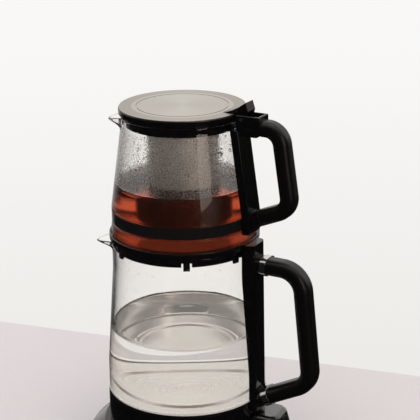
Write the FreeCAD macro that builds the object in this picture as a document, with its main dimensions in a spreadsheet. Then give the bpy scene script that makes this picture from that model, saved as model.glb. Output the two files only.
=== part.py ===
import FreeCAD, Part
import Sketcher
import math
import os
import re

os.makedirs("parts", exist_ok=True)
doc = FreeCAD.newDocument("tea_maker")

# Frame: +Z up, origin on the table under the axis of the kettle and the teapot, handles along +X.
# Driving dimensions: millimetres, and degrees where the name says bearing, slope, tilt or turn.
sizes = {
    # power base
    "foot_radius": 8, "foot_drop": 2.5, "foot_pitch": 66, "foot_recess": 1.2,
    "base_radius": 89, "base_shoulder": 15, "base_top": 28, "platform_radius": 75,
    "base_wall": 2.4, "plate_thick": 2.4, "base_edge_round": 3,
    # housing of the control, a pod that stands over the rim of the base
    "pod_bearing": 5, "pod_half": 17, "pod_top": 47.3, "pod_overhang": 3.5, "pod_slope": 74, "pod_corner": 10,
    "pod_edge_round": 5, "pod_wall": 2.4, "pod_gap": 0.3, "pod_inner": 55, "skirt_room": 1.5,
    "boss_radius": 5, "boss_pitch": 58, "screw_radius": 1.6, "screw_head": 3, "screw_head_thick": 1.8,
    "screw_reach": 10, "gland_radius": 4.2, "gland_bore": 3.2, "gland_height": 9.4,
    "board_length": 44, "board_width": 30, "board_thick": 1.6, "standoff_height": 4, "standoff_radius": 2.4,
    # push button in the pod's sloping face, and the switch behind it
    "button_radius": 7.7, "button_level": 36, "button_proud": 0.6, "button_thick": 4, "button_gap": 0.3,
    "button_round": 0.4, "stem_radius": 2, "stem_reach": 8.4, "button_travel": 2.5, "fit_gap": 0.06,
    "switch_radius": 9.2, "switch_start": 2.9, "switch_floor": 7, "switch_depth": 14,
    # cordless connector between base and kettle
    "socket_radius": 13, "socket_flange": 21, "socket_top": 41, "socket_flange_thick": 1.4,
    "contact_radius": 2.6, "contact_top": 42.4, "plug_radius": 24, "plug_floor": 34.6, "plug_thick": 12.5,
    # kettle
    "skirt_height": 31, "skirt_radius": 70.7, "skirt_wall": 2.4, "cover_floor": 31, "cover_thick": 2,
    "cover_pitch": 64.4, "cover_boss": 4.2,
    "kettle_radius": 70, "neck_radius": 63.4, "kettle_height": 142, "kettle_wall": 2.3,
    "belly_height": 26, "shoulder_height": 116, "belly_round": 120,
    "trim_height": 3, "trim_wall": 0.5, "trim_gap": 0.2, "trim_floor": 1, "trim_inner": 62, "seal_thick": 1.3,
    "hot_plate_radius": 66.6, "hot_plate_thick": 1.2, "hot_plate_step": 46, "hot_plate_rise": 1.4,
    "heater_pitch": 50, "heater_half": 3.6, "heater_opening": 9, "spreader_radius": 58, "spreader_thick": 2.4,
    "thermostat_half": 17,
    # kettle handle
    "spine_half": 11.5, "spine_foot_depth": 4.3, "spine_head_depth": 9.7, "spine_foot": 49.5,
    "spine_gap": 0.3, "spine_head": 146.5, "spine_round": 5, "spine_root": 6,
    "collar_start": 78, "collar_end": 83.5, "collar_lip": 0.8,
    "grip_half_wide": 9, "grip_half_tall": 7.2, "grip_round": 6.2, "grip_bend": 20, "grip_bend_low": 18,
    "grip_level": 127.6, "grip_reach": 113.5, "grip_low": 27.5, "grip_low_reach": 123.5, "grip_slope": 27.5,
    "grip_screw_radius": 2, "grip_screw_reach": 11,
    # seat ring between kettle and teapot
    "flange_radius": 65.5, "flange_thick": 5.5, "flange_lip": 1.2, "ledge_rise": 2.7, "ring_bore": 52,
    "ring_skirt_wall": 2.4, "ring_skirt_drop": 7.5, "ring_skirt_gap": 0.5, "ring_floor": 0.6,
    "finger_half": 2.75, "finger_drop": 11, "finger_slot": 1.6, "finger_root": 3.5,
    "finger_near": 14, "finger_mid": 58, "finger_far": 123,
    # spouts, both at one bearing round the axis
    "spout_bearing": 215, "spout_droop": 3,
    "kettle_spout_reach": 77, "kettle_spout_half": 17, "kettle_spout_deep": 26,
    "pot_spout_reach": 64, "pot_spout_half": 13, "pot_spout_deep": 20,
    "spout_tip_half": 5, "spout_tip_deep": 5, "spout_root": 3.4,
    # teapot
    "pot_radius": 63.6, "pot_neck_radius": 52.3, "pot_height": 106.3, "pot_wall": 2.2,
    "pot_belly": 7.3, "pot_neck": 5, "pot_heel_round": 5,
    "pot_waist_radius": 62.9, "band_groove_low": 12.6, "band_groove_high": 26.3, "band_groove_deep": 1.3,
    "band_wall": 1, "band_margin": 2, "band_screw_radius": 1.5, "band_screw_reach": 9,
    # teapot handle
    "pot_spine_half": 11, "pot_spine_depth": 6, "pot_spine_foot": 10.5, "pot_spine_gap": 0.3,
    "pot_spine_drop": 6.3, "pot_spine_round": 1.5,
    "pot_grip_half_wide": 8.4, "pot_grip_half_tall": 6.9, "pot_grip_round": 5.9, "pot_grip_bend": 14,
    "pot_grip_drop": 3.3, "pot_grip_run": 15.7, "pot_grip_low": 36.6, "pot_grip_flare": 9.8,
    "pot_grip_slope": 22.8, "pot_grip_start": 77.3,
    "housing_inner": 56, "housing_half": 8.5, "housing_drop": 10.3, "housing_rise": 7,
    "housing_wall": 1.6, "housing_round": 1, "pocket_drop": 3.8,
    # lid hinge
    "pin_reach": 60.5, "pin_rise": 3.5, "pin_radius": 1.25, "barrel_radius": 3.2, "arm_gap": 0.5,
    # lid
    "lid_radius": 54.5, "seam_gap": 0.3, "lid_cap_thick": 4.7, "lid_plate_thick": 1.2, "lid_plate_inset": 0.5,
    "lid_groove_radius": 39.1, "lid_groove_wide": 1, "lid_groove_deep": 0.5,
    "plug_ring_radius": 45.2, "plug_ring_wall": 2.4, "plug_ring_drop": 5.2, "lid_edge_round": 1.2,
    "gasket_radius": 45.65, "gasket_inner": 44.2, "gasket_low": 1.6, "gasket_tall": 1.4,
    "tab_start": 43, "tab_reach": 63.9, "tab_rise": 10.2, "tab_back": 66.2, "tab_back_rise": 3,
    # strainer
    "collar_radius": 48, "collar_wall": 1.9, "collar_drop": 8.5, "collar_lip_radius": 51.4,
    "collar_lip_thick": 1.2, "collar_ledge": 40, "collar_ledge_thick": 1.4,
    "collar_slot_half": 1, "collar_slot_tall": 6.8, "slot_near": 11, "slot_far": 110,
    "basket_radius": 31, "basket_wall": 0.8, "basket_floor": 13.5, "basket_flange": 45.6,
}

sheet = doc.addObject("Spreadsheet::Sheet", "Sizes")
for row, (word, size) in enumerate(sizes.items(), start=1):
    sheet.set(f"A{row}", word)
    sheet.set(f"B{row}", str(size))
    sheet.setAlias(f"B{row}", word)
doc.recompute()

# Levels and radii that follow from the driving dimensions.
glass_base = "(base_top + skirt_height)"
glass_foot = f"({glass_base} + trim_floor + seal_thick)"
kettle_rim = f"({glass_base} + kettle_height)"
pot_base = f"({kettle_rim} + ledge_rise)"
pot_rim = f"({pot_base} + pot_height)"
lid_floor = f"({pot_rim} + collar_lip_thick + seam_gap)"
lid_top = f"({lid_floor} + lid_cap_thick + lid_plate_thick)"
pin_level = f"({pot_rim} + pin_rise)"
ring_skirt_radius = "(neck_radius - kettle_wall - ring_skirt_gap)"
pod_shelf = "(base_radius + pod_overhang)"
pot_grip_reach = "(pot_grip_start + pot_grip_run)"
pot_grip_low_reach = f"({pot_grip_reach} + pot_grip_flare)"

pieces = []


def bound(text):
    """Put the sheet's name before every size in an expression."""
    return re.sub(r"[a-z_]+", lambda word: "Sizes." + word[0] if word[0] in sizes else word[0], text)


def value(text):
    return float(sheet.evalExpression(bound(text)))


def add_body(label):
    body = doc.addObject("PartDesign::Body", label)
    body.Label = label
    body.AllowCompound = True
    body.Placement = FreeCAD.Placement()
    pieces.append(body)
    return body


def add_sketch(body, role, x="0", y="0", out="0", tilt="0"):
    """A sketch on one of the body's origin planes, moved by x and y in it and out along its normal."""
    sketch = body.newObject("Sketcher::SketchObject", body.Label + "_sketch")
    plane = next(face for face in body.Origin.OriginFeatures if face.Role == role)
    sketch.AttachmentSupport = [(plane, "")]
    sketch.MapMode = "FlatFace"
    turn = FreeCAD.Rotation(FreeCAD.Vector(1, 0, 0), value(tilt))
    sketch.AttachmentOffset = FreeCAD.Placement(FreeCAD.Vector(value(x), value(y), value(out)), turn)
    for path, text in (("x", x), ("y", y), ("z", out)):
        if text != "0":
            sketch.setExpression("AttachmentOffset.Base." + path, bound(text))
    if tilt != "0":
        sketch.setExpression("AttachmentOffset.Rotation.Angle", bound(f"({tilt}) * 1 deg"))
    return sketch


def constrain(sketch, constraint, text=None):
    index = sketch.addConstraint(constraint)
    if text is not None:
        sketch.setExpression(f"Constraints[{index}]", bound(text))


def place_point(sketch, shape, end, corner):
    """Hold one point of a sketch at a corner given by two expressions."""
    for text, kind, axis in ((corner[0], "DistanceX", -2), (corner[1], "DistanceY", -1)):
        if text == "0":
            constrain(sketch, Sketcher.Constraint("PointOnObject", shape, end, axis))
        else:
            constrain(sketch, Sketcher.Constraint(kind, -1, 1, shape, end, value(text)), text)


def add_chain(sketch, corners, closed=True):
    """Lines through the corners (x, y) with an arc at each corner that has a third term, its radius."""
    points = [FreeCAD.Vector(value(corner[0]), value(corner[1]), 0) for corner in corners]
    rounds = [value(corner[2]) if len(corner) > 2 else 0 for corner in corners]
    count = len(corners)

    def rounding(i):
        back = (points[i - 1] - points[i]).normalize()
        ahead = (points[(i + 1) % count] - points[i]).normalize()
        half = back.getAngle(ahead) / 2
        reach = rounds[i] / math.tan(half)
        centre = points[i] + (back + ahead).normalize() * (rounds[i] / math.sin(half))
        return points[i] + back * reach, points[i] + ahead * reach, centre

    starts = [rounding(i)[1] if rounds[i] else points[i] for i in range(count)]
    ends = [rounding(i)[0] if rounds[i] else points[i] for i in range(count)]
    sides = count if closed else count - 1
    lines = [sketch.addGeometry(Part.LineSegment(starts[i], ends[(i + 1) % count]), False)
             for i in range(sides)]
    for i, corner in enumerate(corners):
        before = lines[i - 1] if closed or i > 0 else None
        after = lines[i] if i < sides else None
        if not rounds[i]:
            if before is not None and after is not None:
                constrain(sketch, Sketcher.Constraint("Coincident", before, 2, after, 1))
            shape, end = (after, 1) if after is not None else (before, 2)
            place_point(sketch, shape, end, corner)
            continue
        first, last, centre = rounding(i)
        left_turn = (points[i] - points[i - 1]).cross(points[(i + 1) % count] - points[i]).z > 0
        if not left_turn:
            first, last = last, first
        angles = [math.atan2((p - centre).y, (p - centre).x) for p in (first, last)]
        circle = Part.Circle(centre, FreeCAD.Vector(0, 0, 1), rounds[i])
        arc = sketch.addGeometry(Part.ArcOfCircle(circle, *angles), False)
        head, tail = (1, 2) if left_turn else (2, 1)
        constrain(sketch, Sketcher.Constraint("Tangent", before, 2, arc, head))
        constrain(sketch, Sketcher.Constraint("Tangent", arc, tail, after, 1))
        constrain(sketch, Sketcher.Constraint("Radius", arc, rounds[i]), corner[2])
        peak = sketch.addGeometry(Part.Point(points[i]), True)
        constrain(sketch, Sketcher.Constraint("PointOnObject", peak, 1, before))
        constrain(sketch, Sketcher.Constraint("PointOnObject", peak, 1, after))
        place_point(sketch, peak, 1, corner)


def add_circle(sketch, centre, radius):
    middle = FreeCAD.Vector(value(centre[0]), value(centre[1]), 0)
    circle = sketch.addGeometry(Part.Circle(middle, FreeCAD.Vector(0, 0, 1), value(radius)), False)
    constrain(sketch, Sketcher.Constraint("Radius", circle, value(radius)), radius)
    for text, kind, axis in ((centre[0], "DistanceX", -2), (centre[1], "DistanceY", -1)):
        if text == "0":
            constrain(sketch, Sketcher.Constraint("PointOnObject", circle, 3, axis))
        else:
            constrain(sketch, Sketcher.Constraint(kind, -1, 1, circle, 3, value(text)), text)


def spin(body, corners, cut=False):
    """Turn an outline of (radius, height) corners round the vertical axis, adding or cutting."""
    sketch = add_sketch(body, "XZ_Plane")
    add_chain(sketch, corners)
    kind = "PartDesign::Groove" if cut else "PartDesign::Revolution"
    turned = body.newObject(kind, body.Label + ("_groove" if cut else "_turned"))
    turned.Profile = sketch
    turned.ReferenceAxis = (sketch, ["V_Axis"])
    turned.Angle = 360
    return turned


def extrude(body, sketch, length, cut=False, both=False):
    kind = "PartDesign::Pocket" if cut else "PartDesign::Pad"
    block = body.newObject(kind, body.Label + ("_pocket" if cut else "_pad"))
    block.Profile = sketch
    block.Type = "Length"
    block.SideType = "Symmetric" if both else "One side"
    block.Length = value(length)
    block.setExpression("Length", bound(length))
    block.Reversed = cut
    return block


def side_block(body, corners, half_width, cut=False):
    """An outline of (x, z) corners, as thick as twice half_width across the handles' plane."""
    sketch = add_sketch(body, "XZ_Plane")
    add_chain(sketch, corners)
    return extrude(body, sketch, f"2 * ({half_width})", cut, both=True)


def soften(body, radius, wanted):
    """Round the edges of a body so far whose bounding box satisfies wanted."""
    doc.recompute()
    base = body.Tip
    boxes = [edge.BoundBox for edge in base.Shape.Edges]
    rounding = body.newObject("PartDesign::Fillet", body.Label + "_rounding")
    rounding.Base = (base, [f"Edge{i + 1}" for i, box in enumerate(boxes) if wanted(box)])
    rounding.Radius = value(radius)
    rounding.setExpression("Radius", bound(radius))
    return rounding


def upright_block(body, loops, floor, top, cut=False):
    """Outlines of (x, y) corners, standing from the floor level to the top level."""
    sketch = add_sketch(body, "XY_Plane", out=floor)
    for corners in loops:
        add_chain(sketch, corners)
    return extrude(body, sketch, f"({top}) - ({floor})", cut)


def disc(body, spots, radius, floor, top, cut=False):
    """Round bosses, pins or holes at (x, y) spots from the floor level to the top level."""
    sketch = add_sketch(body, "XY_Plane", out=floor)
    for spot in spots:
        add_circle(sketch, spot, radius)
    return extrude(body, sketch, f"({top}) - ({floor})", cut)


def around(radius, bearing, across="0"):
    """The (x, y) spot at a radius and a bearing, moved sideways by across."""
    turn = f"({bearing}) * 1 deg"
    return (f"(({radius}) * cos({turn}) - ({across}) * sin({turn}))",
            f"(({radius}) * sin({turn}) + ({across}) * cos({turn}))")


def radial_bar(inner, outer, half, bearing):
    """The four corners of a bar that lies along a bearing, seen from above."""
    return [around(inner, bearing, f"-({half})"), around(outer, bearing, f"-({half})"),
            around(outer, bearing, half), around(inner, bearing, half)]


def spaced(radius, bearings):
    return [around(radius, bearing) for bearing in bearings]


def rounded_section(half_wide, half_tall, corner):
    return [(f"-({half_wide})", f"-({half_tall})", corner), (half_wide, f"-({half_tall})", corner),
            (half_wide, half_tall, corner), (f"-({half_wide})", half_tall, corner)]


def tube(body, path, section, tilt="0", cut=False):
    """Sweep a section along a path of (x, z) corners that starts at the given tilt above level."""
    start = add_sketch(body, "YZ_Plane", y=path[0][1], out=path[0][0], tilt=f"-({tilt})")
    if isinstance(section, str):
        add_circle(start, ("0", "0"), section)
    else:
        add_chain(start, section)
    route = add_sketch(body, "XZ_Plane")
    add_chain(route, path, closed=False)
    kind = "PartDesign::SubtractivePipe" if cut else "PartDesign::AdditivePipe"
    swept = body.newObject(kind, body.Label + "_sweep")
    swept.Profile = start
    runs = [i for i in range(route.GeometryCount) if not route.getConstruction(i)]
    swept.Spine = (route, [f"Edge{i + 1}" for i in range(len(runs))])
    return swept


def spout(body, reach, root, half, deep, rim, wall):
    """A beak on the -X side of a glass: wall 0 adds its outside, another wall cuts its channel."""
    sections = []
    above = f"({rim})" if wall == "0" else f"({rim} + 2 * ({wall}))"
    for x, wide, low, top in ((root, half, f"{rim} - ({deep})", above),
                              (reach, "spout_tip_half", f"{rim} - spout_droop - spout_tip_deep",
                               f"{above} - spout_droop")):
        sketch = add_sketch(body, "YZ_Plane", out=f"-({x})")
        add_chain(sketch, [(f"({wall}) - ({wide})", top), (f"({wide}) - ({wall})", top),
                           ("0", f"({low}) + ({wall})", f"({wide}) * 0.35")])
        sections.append(sketch)
    kind = "PartDesign::AdditiveLoft" if wall == "0" else "PartDesign::SubtractiveLoft"
    beak = body.newObject(kind, body.Label + "_beak")
    beak.Profile = sections[0]
    beak.Sections = [sections[1]]
    return beak


# ---------------------------------------------------------------- power base

screw_bearings = ("60", "180", "300")
foot_bearings = ("45", "135", "225", "315")


def make_base_shell():
    body = add_body("base_shell")
    spin(body, [("0", "foot_drop"), ("base_radius", "foot_drop", "base_edge_round"),
                ("base_radius", "base_shoulder", "base_edge_round"),
                ("platform_radius", "base_top", "base_edge_round"), ("0", "base_top")])
    # hollow inside
    spin(body, [("0", "foot_drop"), ("base_radius - base_wall", "foot_drop"),
                ("base_radius - base_wall", "base_shoulder - base_wall * 0.4"),
                ("platform_radius - base_wall * 0.6", "base_top - base_wall"),
                ("0", "base_top - base_wall")], cut=True)
    # screw bosses, and the holes for the connector and the cord gland
    disc(body, spaced("boss_pitch", screw_bearings), "boss_radius",
         "foot_drop + plate_thick", "base_top - base_wall * 0.5")
    disc(body, spaced("boss_pitch", screw_bearings), "screw_radius + fit_gap",
         "foot_drop + plate_thick", "foot_drop + plate_thick + screw_reach", cut=True)
    disc(body, [("0", "0")], "socket_radius + fit_gap", "base_top - base_wall - 1", "base_top + 1", cut=True)
    gland = add_sketch(body, "XZ_Plane", y="0", out="-(base_radius + 1)")
    add_circle(gland, ("0", "gland_height"), "gland_radius + fit_gap")
    extrude(body, gland, "base_wall + 4", cut=True)


def pod_reach(level):
    """How far the pod's sloping face stands from the axis at a level."""
    return f"({pod_shelf} + (pod_top - ({level})) / tan(pod_slope * 1 deg))"


def make_control_pod():
    body = add_body("control_pod")
    side_block(body, [("pod_inner", "foot_drop"), (pod_reach("foot_drop"), "foot_drop"),
                      (pod_shelf, "pod_top"), ("pod_inner", "pod_top")], "pod_half")
    tall = value("pod_top - foot_drop") * 0.8
    soften(body, "pod_corner", lambda box: box.ZLength > tall and box.XMin > value(pod_shelf) - 1)
    soften(body, "pod_edge_round",
           lambda box: box.ZMin > value("pod_top") - 0.01 and box.XMax > value("pod_inner") + 1)
    # hollow behind the sloping face, open towards the base, with a wall that faces the kettle's skirt
    half = "(pod_half - pod_wall)"
    corner = "pod_corner - pod_wall"
    plans = []
    for level in ("foot_drop + pod_wall", "pod_top - pod_wall"):
        plan = add_sketch(body, "XY_Plane", out=level)
        front = f"{pod_reach(level)} - pod_wall / sin(pod_slope * 1 deg)"
        add_chain(plan, [("pod_inner", f"-{half}"), (front, f"-{half}", corner), (front, half, corner),
                         ("pod_inner", half)])
        plans.append(plan)
    hollow = body.newObject("PartDesign::SubtractiveLoft", body.Label + "_hollow")
    hollow.Profile = plans[0]
    hollow.Sections = [plans[1]]
    near = "skirt_radius + skirt_room"
    across = "(pod_half - pod_wall / 2)"
    upright_block(body, [[("pod_inner", f"-{across}"), (f"{near} + pod_wall", f"-{across}"),
                          (f"{near} + pod_wall", across), ("pod_inner", across)]],
                  "base_top - base_wall", "pod_top - pod_wall / 2")
    # it follows the base, a gap away from it, and leaves room for the kettle's skirt
    spin(body, [("0", "foot_drop - 1"), ("base_radius + pod_gap", "foot_drop - 1"),
                ("base_radius + pod_gap", "base_shoulder + pod_gap / 2", "base_edge_round"),
                ("platform_radius + pod_gap", "base_top + pod_gap", "base_edge_round"),
                ("0", "base_top + pod_gap")], cut=True)
    spin(body, [("0", "base_top"), (near, "base_top"), (near, "pod_top + 1"), ("0", "pod_top + 1")], cut=True)
    button_bore(body, "button_radius + button_gap", "-(pod_wall * 2)", "pod_edge_round", cut=True)
    turn_pod(body)


def turn_pod(body):
    body.Placement = FreeCAD.Placement(FreeCAD.Vector(), FreeCAD.Rotation(FreeCAD.Vector(0, 0, 1), 1))
    body.setExpression("Placement.Rotation.Angle", bound("pod_bearing * 1 deg"))


def button_bore(body, radius, low, high, cut=False):
    """A round along the button's axis, from low to high outside the pod's sloping face."""
    sketch = add_sketch(body, "YZ_Plane", y=f"button_level + ({low}) * cos(pod_slope * 1 deg)",
                        out=f"{pod_reach('button_level')} + ({low}) * sin(pod_slope * 1 deg)",
                        tilt="pod_slope - 90")
    add_circle(sketch, ("0", "0"), radius)
    return extrude(body, sketch, f"({high}) - ({low})", cut)


def make_base_plate():
    body = add_body("base_plate")
    inner = "base_radius - base_wall - seam_gap"
    spin(body, [("0", "foot_drop"), (inner, "foot_drop"), (inner, "foot_drop + plate_thick"),
                ("0", "foot_drop + plate_thick")])
    disc(body, spaced("boss_pitch", screw_bearings), "screw_radius + fit_gap",
         "foot_drop - 1", "foot_drop + plate_thick + 1", cut=True)
    disc(body, spaced("boss_pitch", screw_bearings), "screw_head + fit_gap",
         "foot_drop - 1", "foot_drop + screw_head_thick", cut=True)
    disc(body, spaced("foot_pitch", foot_bearings), "foot_radius + fit_gap",
         "foot_drop - 1", "foot_drop + foot_recess", cut=True)
    disc(body, board_posts, "standoff_radius", "foot_drop + plate_thick",
         "foot_drop + plate_thick + standoff_height")


board_posts = [("-30", "board_width / 2 - 5"), ("-30", "5 - board_width / 2")]


def make_base_fittings():
    feet = add_body("rubber_feet")
    disc(feet, spaced("foot_pitch", foot_bearings), "foot_radius", "0", "foot_drop + foot_recess")
    screws = add_body("base_screws")
    disc(screws, spaced("boss_pitch", screw_bearings), "screw_radius", "foot_drop + screw_head_thick",
         "foot_drop + plate_thick + screw_reach")
    disc(screws, spaced("boss_pitch", screw_bearings), "screw_head", "foot_drop + 0.3",
         "foot_drop + screw_head_thick")
    board = add_body("control_board")
    posts_top = "foot_drop + plate_thick + standoff_height"
    upright_block(board, [[("-30 - 8", "-board_width / 2"), ("board_length - 38", "-board_width / 2"),
                           ("board_length - 38", "board_width / 2"), ("-30 - 8", "board_width / 2")]],
                  posts_top, f"{posts_top} + board_thick")
    gland = add_body("cord_gland")
    tube_axis = add_sketch(gland, "XZ_Plane", out="-(base_radius + 1.5)")
    add_circle(tube_axis, ("0", "gland_height"), "gland_radius")
    extrude(gland, tube_axis, "base_wall + 4")
    flange = add_sketch(gland, "XZ_Plane", out="-(base_radius + 1.5)")
    add_circle(flange, ("0", "gland_height"), "gland_radius + 0.8")
    extrude(gland, flange, "1.4")
    bore = add_sketch(gland, "XZ_Plane", out="-(base_radius + 3)")
    add_circle(bore, ("0", "gland_height"), "gland_bore")
    extrude(gland, bore, "base_wall + 9", cut=True)


def make_connector():
    socket = add_body("base_connector")
    spin(socket, [("0", "base_top - 9"), ("socket_radius", "base_top - 9"), ("socket_radius", "base_top"),
                  ("socket_flange", "base_top"), ("socket_flange", "base_top + socket_flange_thick"),
                  ("socket_radius", "base_top + socket_flange_thick"), ("socket_radius", "socket_top", "1"),
                  ("contact_radius * 3", "socket_top"), ("contact_radius * 3", "socket_top - 6"),
                  ("contact_radius + fit_gap", "socket_top - 6"),
                  ("contact_radius + fit_gap", "socket_top - 12"), ("0", "socket_top - 12")])
    pin = add_body("base_contact_pin")
    disc(pin, [("0", "0")], "contact_radius", "socket_top - 12", "contact_top - 3")
    plug = add_body("kettle_coupler")
    top = "plug_floor + plug_thick"
    spin(plug, [("socket_radius + 0.5", "plug_floor"), ("plug_radius", "plug_floor"), ("plug_radius", top),
                ("0", top), ("0", "contact_top"), ("socket_radius + 0.5", "contact_top")])


def make_control():
    button = add_body("control_button")
    button_bore(button, "button_radius", "button_proud - button_thick", "button_proud")
    rim = value(f"{pod_reach('button_level')}")
    soften(button, "button_round",
           lambda box: box.XMax > rim - 1 and box.YLength > value("button_radius * 1.9"))
    button_bore(button, "stem_radius", "-stem_reach", "button_proud - button_thick")
    turn_pod(button)
    switch = add_body("control_switch")
    button_bore(switch, "switch_radius", "-switch_depth", "-switch_start")
    button_bore(switch, "button_radius + button_gap", "-switch_floor", "0", cut=True)
    button_bore(switch, "stem_radius + fit_gap", "-(stem_reach + button_travel + button_gap)", "0", cut=True)
    turn_pod(switch)


# ---------------------------------------------------------------- kettle

def make_kettle_glass():
    body = add_body("kettle_glass")
    inner = "kettle_radius - kettle_wall"
    neck_inner = "neck_radius - kettle_wall"
    belly = f"{glass_base} + belly_height"
    shoulder = f"{glass_base} + shoulder_height"
    spin(body, [("0", glass_foot), ("kettle_radius", glass_foot), ("kettle_radius", belly, "belly_round"),
                ("neck_radius", shoulder, "belly_round"), ("neck_radius", kettle_rim), ("0", kettle_rim)])
    spout(body, "kettle_spout_reach", "neck_radius - spout_root", "kettle_spout_half", "kettle_spout_deep",
          kettle_rim, "0")
    spin(body, [("0", f"{glass_foot} - 1"), (inner, f"{glass_foot} - 1"), (inner, belly, "belly_round"),
                (neck_inner, shoulder, "belly_round"), (neck_inner, f"{kettle_rim} + 1"),
                ("0", f"{kettle_rim} + 1")], cut=True)
    spout(body, "kettle_spout_reach + 0.5", "neck_radius - spout_root - 1", "kettle_spout_half",
          "kettle_spout_deep", kettle_rim, "kettle_wall * 0.8")
    turn_spout(body)


def turn_spout(body):
    body.Placement = FreeCAD.Placement(FreeCAD.Vector(), FreeCAD.Rotation(FreeCAD.Vector(0, 0, 1), 1))
    body.setExpression("Placement.Rotation.Angle", bound("(spout_bearing - 180) * 1 deg"))


def make_kettle_foot():
    skirt = add_body("kettle_skirt")
    inner = "skirt_radius - skirt_wall"
    spin(skirt, [(inner, "base_top"), ("skirt_radius", "base_top", "0.8"), ("skirt_radius", glass_base),
                 ("trim_inner + 4", glass_base), ("trim_inner + 4", f"{glass_base} - skirt_wall"),
                 (inner, f"{glass_base} - skirt_wall")])
    disc(skirt, spaced("cover_pitch", screw_bearings), "cover_boss", "cover_floor + cover_thick",
         f"{glass_base} - skirt_wall * 0.5")
    disc(skirt, spaced("cover_pitch", screw_bearings), "screw_radius + fit_gap", "cover_floor + cover_thick",
         "cover_floor + cover_thick + screw_reach", cut=True)
    cover = add_body("kettle_bottom_cover")
    edge = "skirt_radius - skirt_wall - seam_gap"
    bore = "plug_radius + seam_gap"
    spin(cover, [(bore, "cover_floor"), (edge, "cover_floor"), (edge, "cover_floor + cover_thick"),
                 (bore, "cover_floor + cover_thick")])
    disc(cover, spaced("cover_pitch", screw_bearings), "screw_radius + fit_gap", "cover_floor - 1",
         "cover_floor + cover_thick + 1", cut=True)
    screws = add_body("kettle_cover_screws")
    disc(screws, spaced("cover_pitch", screw_bearings), "screw_radius", "cover_floor",
         "cover_floor + cover_thick + screw_reach")
    disc(screws, spaced("cover_pitch", screw_bearings), "screw_head", "cover_floor - screw_head_thick",
         "cover_floor")


def make_kettle_heater():
    trim = add_body("glass_trim_ring")
    inner = "kettle_radius + trim_gap"
    outer = f"{inner} + trim_wall"
    spin(trim, [("trim_inner", glass_base), (outer, glass_base), (outer, f"{glass_base} + trim_height"),
                (inner, f"{glass_base} + trim_height"), (inner, f"{glass_base} + trim_floor"),
                ("trim_inner", f"{glass_base} + trim_floor")])
    seal = add_body("glass_seal")
    floor = f"({glass_base} + trim_floor)"
    spin(seal, [("hot_plate_radius + fit_gap", floor), ("kettle_radius", floor),
                ("kettle_radius", glass_foot), ("hot_plate_radius + fit_gap", glass_foot)])
    plate = add_body("heating_plate")
    top = f"({floor} + hot_plate_thick)"
    spin(plate, [("0", floor), ("hot_plate_step - 3", floor),
                 ("hot_plate_step - 1", f"{floor} + hot_plate_rise"),
                 ("hot_plate_step + 1", f"{floor} + hot_plate_rise"), ("hot_plate_step + 3", floor),
                 ("hot_plate_radius", floor), ("hot_plate_radius", top), ("hot_plate_step + 4", top),
                 ("hot_plate_step + 1.6", f"{top} + hot_plate_rise"),
                 ("hot_plate_step - 1.6", f"{top} + hot_plate_rise"), ("hot_plate_step - 4", top),
                 ("0", top)])
    spreader = add_body("heat_spreader")
    low = f"({floor} - spreader_thick)"
    spin(spreader, [("0", low), ("spreader_radius", low), ("spreader_radius", floor), ("0", floor)])
    element = add_body("heating_element")
    spin(element, [("heater_pitch - heater_half", f"{low} - 2 * heater_half"),
                   ("heater_pitch + heater_half", f"{low} - 2 * heater_half"),
                   ("heater_pitch + heater_half", low), ("heater_pitch - heater_half", low)])
    opening = radial_bar("heater_pitch - heater_half - 1", "heater_pitch + heater_half + 1", "heater_opening",
                         "180")
    upright_block(element, [opening], f"{low} - 2 * heater_half - 1", f"{low} + 0.5", cut=True)
    thermostat = add_body("kettle_thermostat")
    upright_block(thermostat, [radial_bar("-thermostat_half", "thermostat_half", "thermostat_half", "0")],
                  "plug_floor + plug_thick", low)


def slope_level(x, low, low_reach, slope):
    """Height of a handle's lower run where it passes x."""
    return f"({low} - ({low_reach} - ({x})) * tan({slope} * 1 deg))"


def kettle_run(x):
    return slope_level(x, f"{glass_base} + grip_low", "grip_low_reach", "grip_slope")


def pot_run(x):
    return slope_level(x, f"{pot_base} + pot_grip_low", pot_grip_low_reach, "pot_grip_slope")


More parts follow.
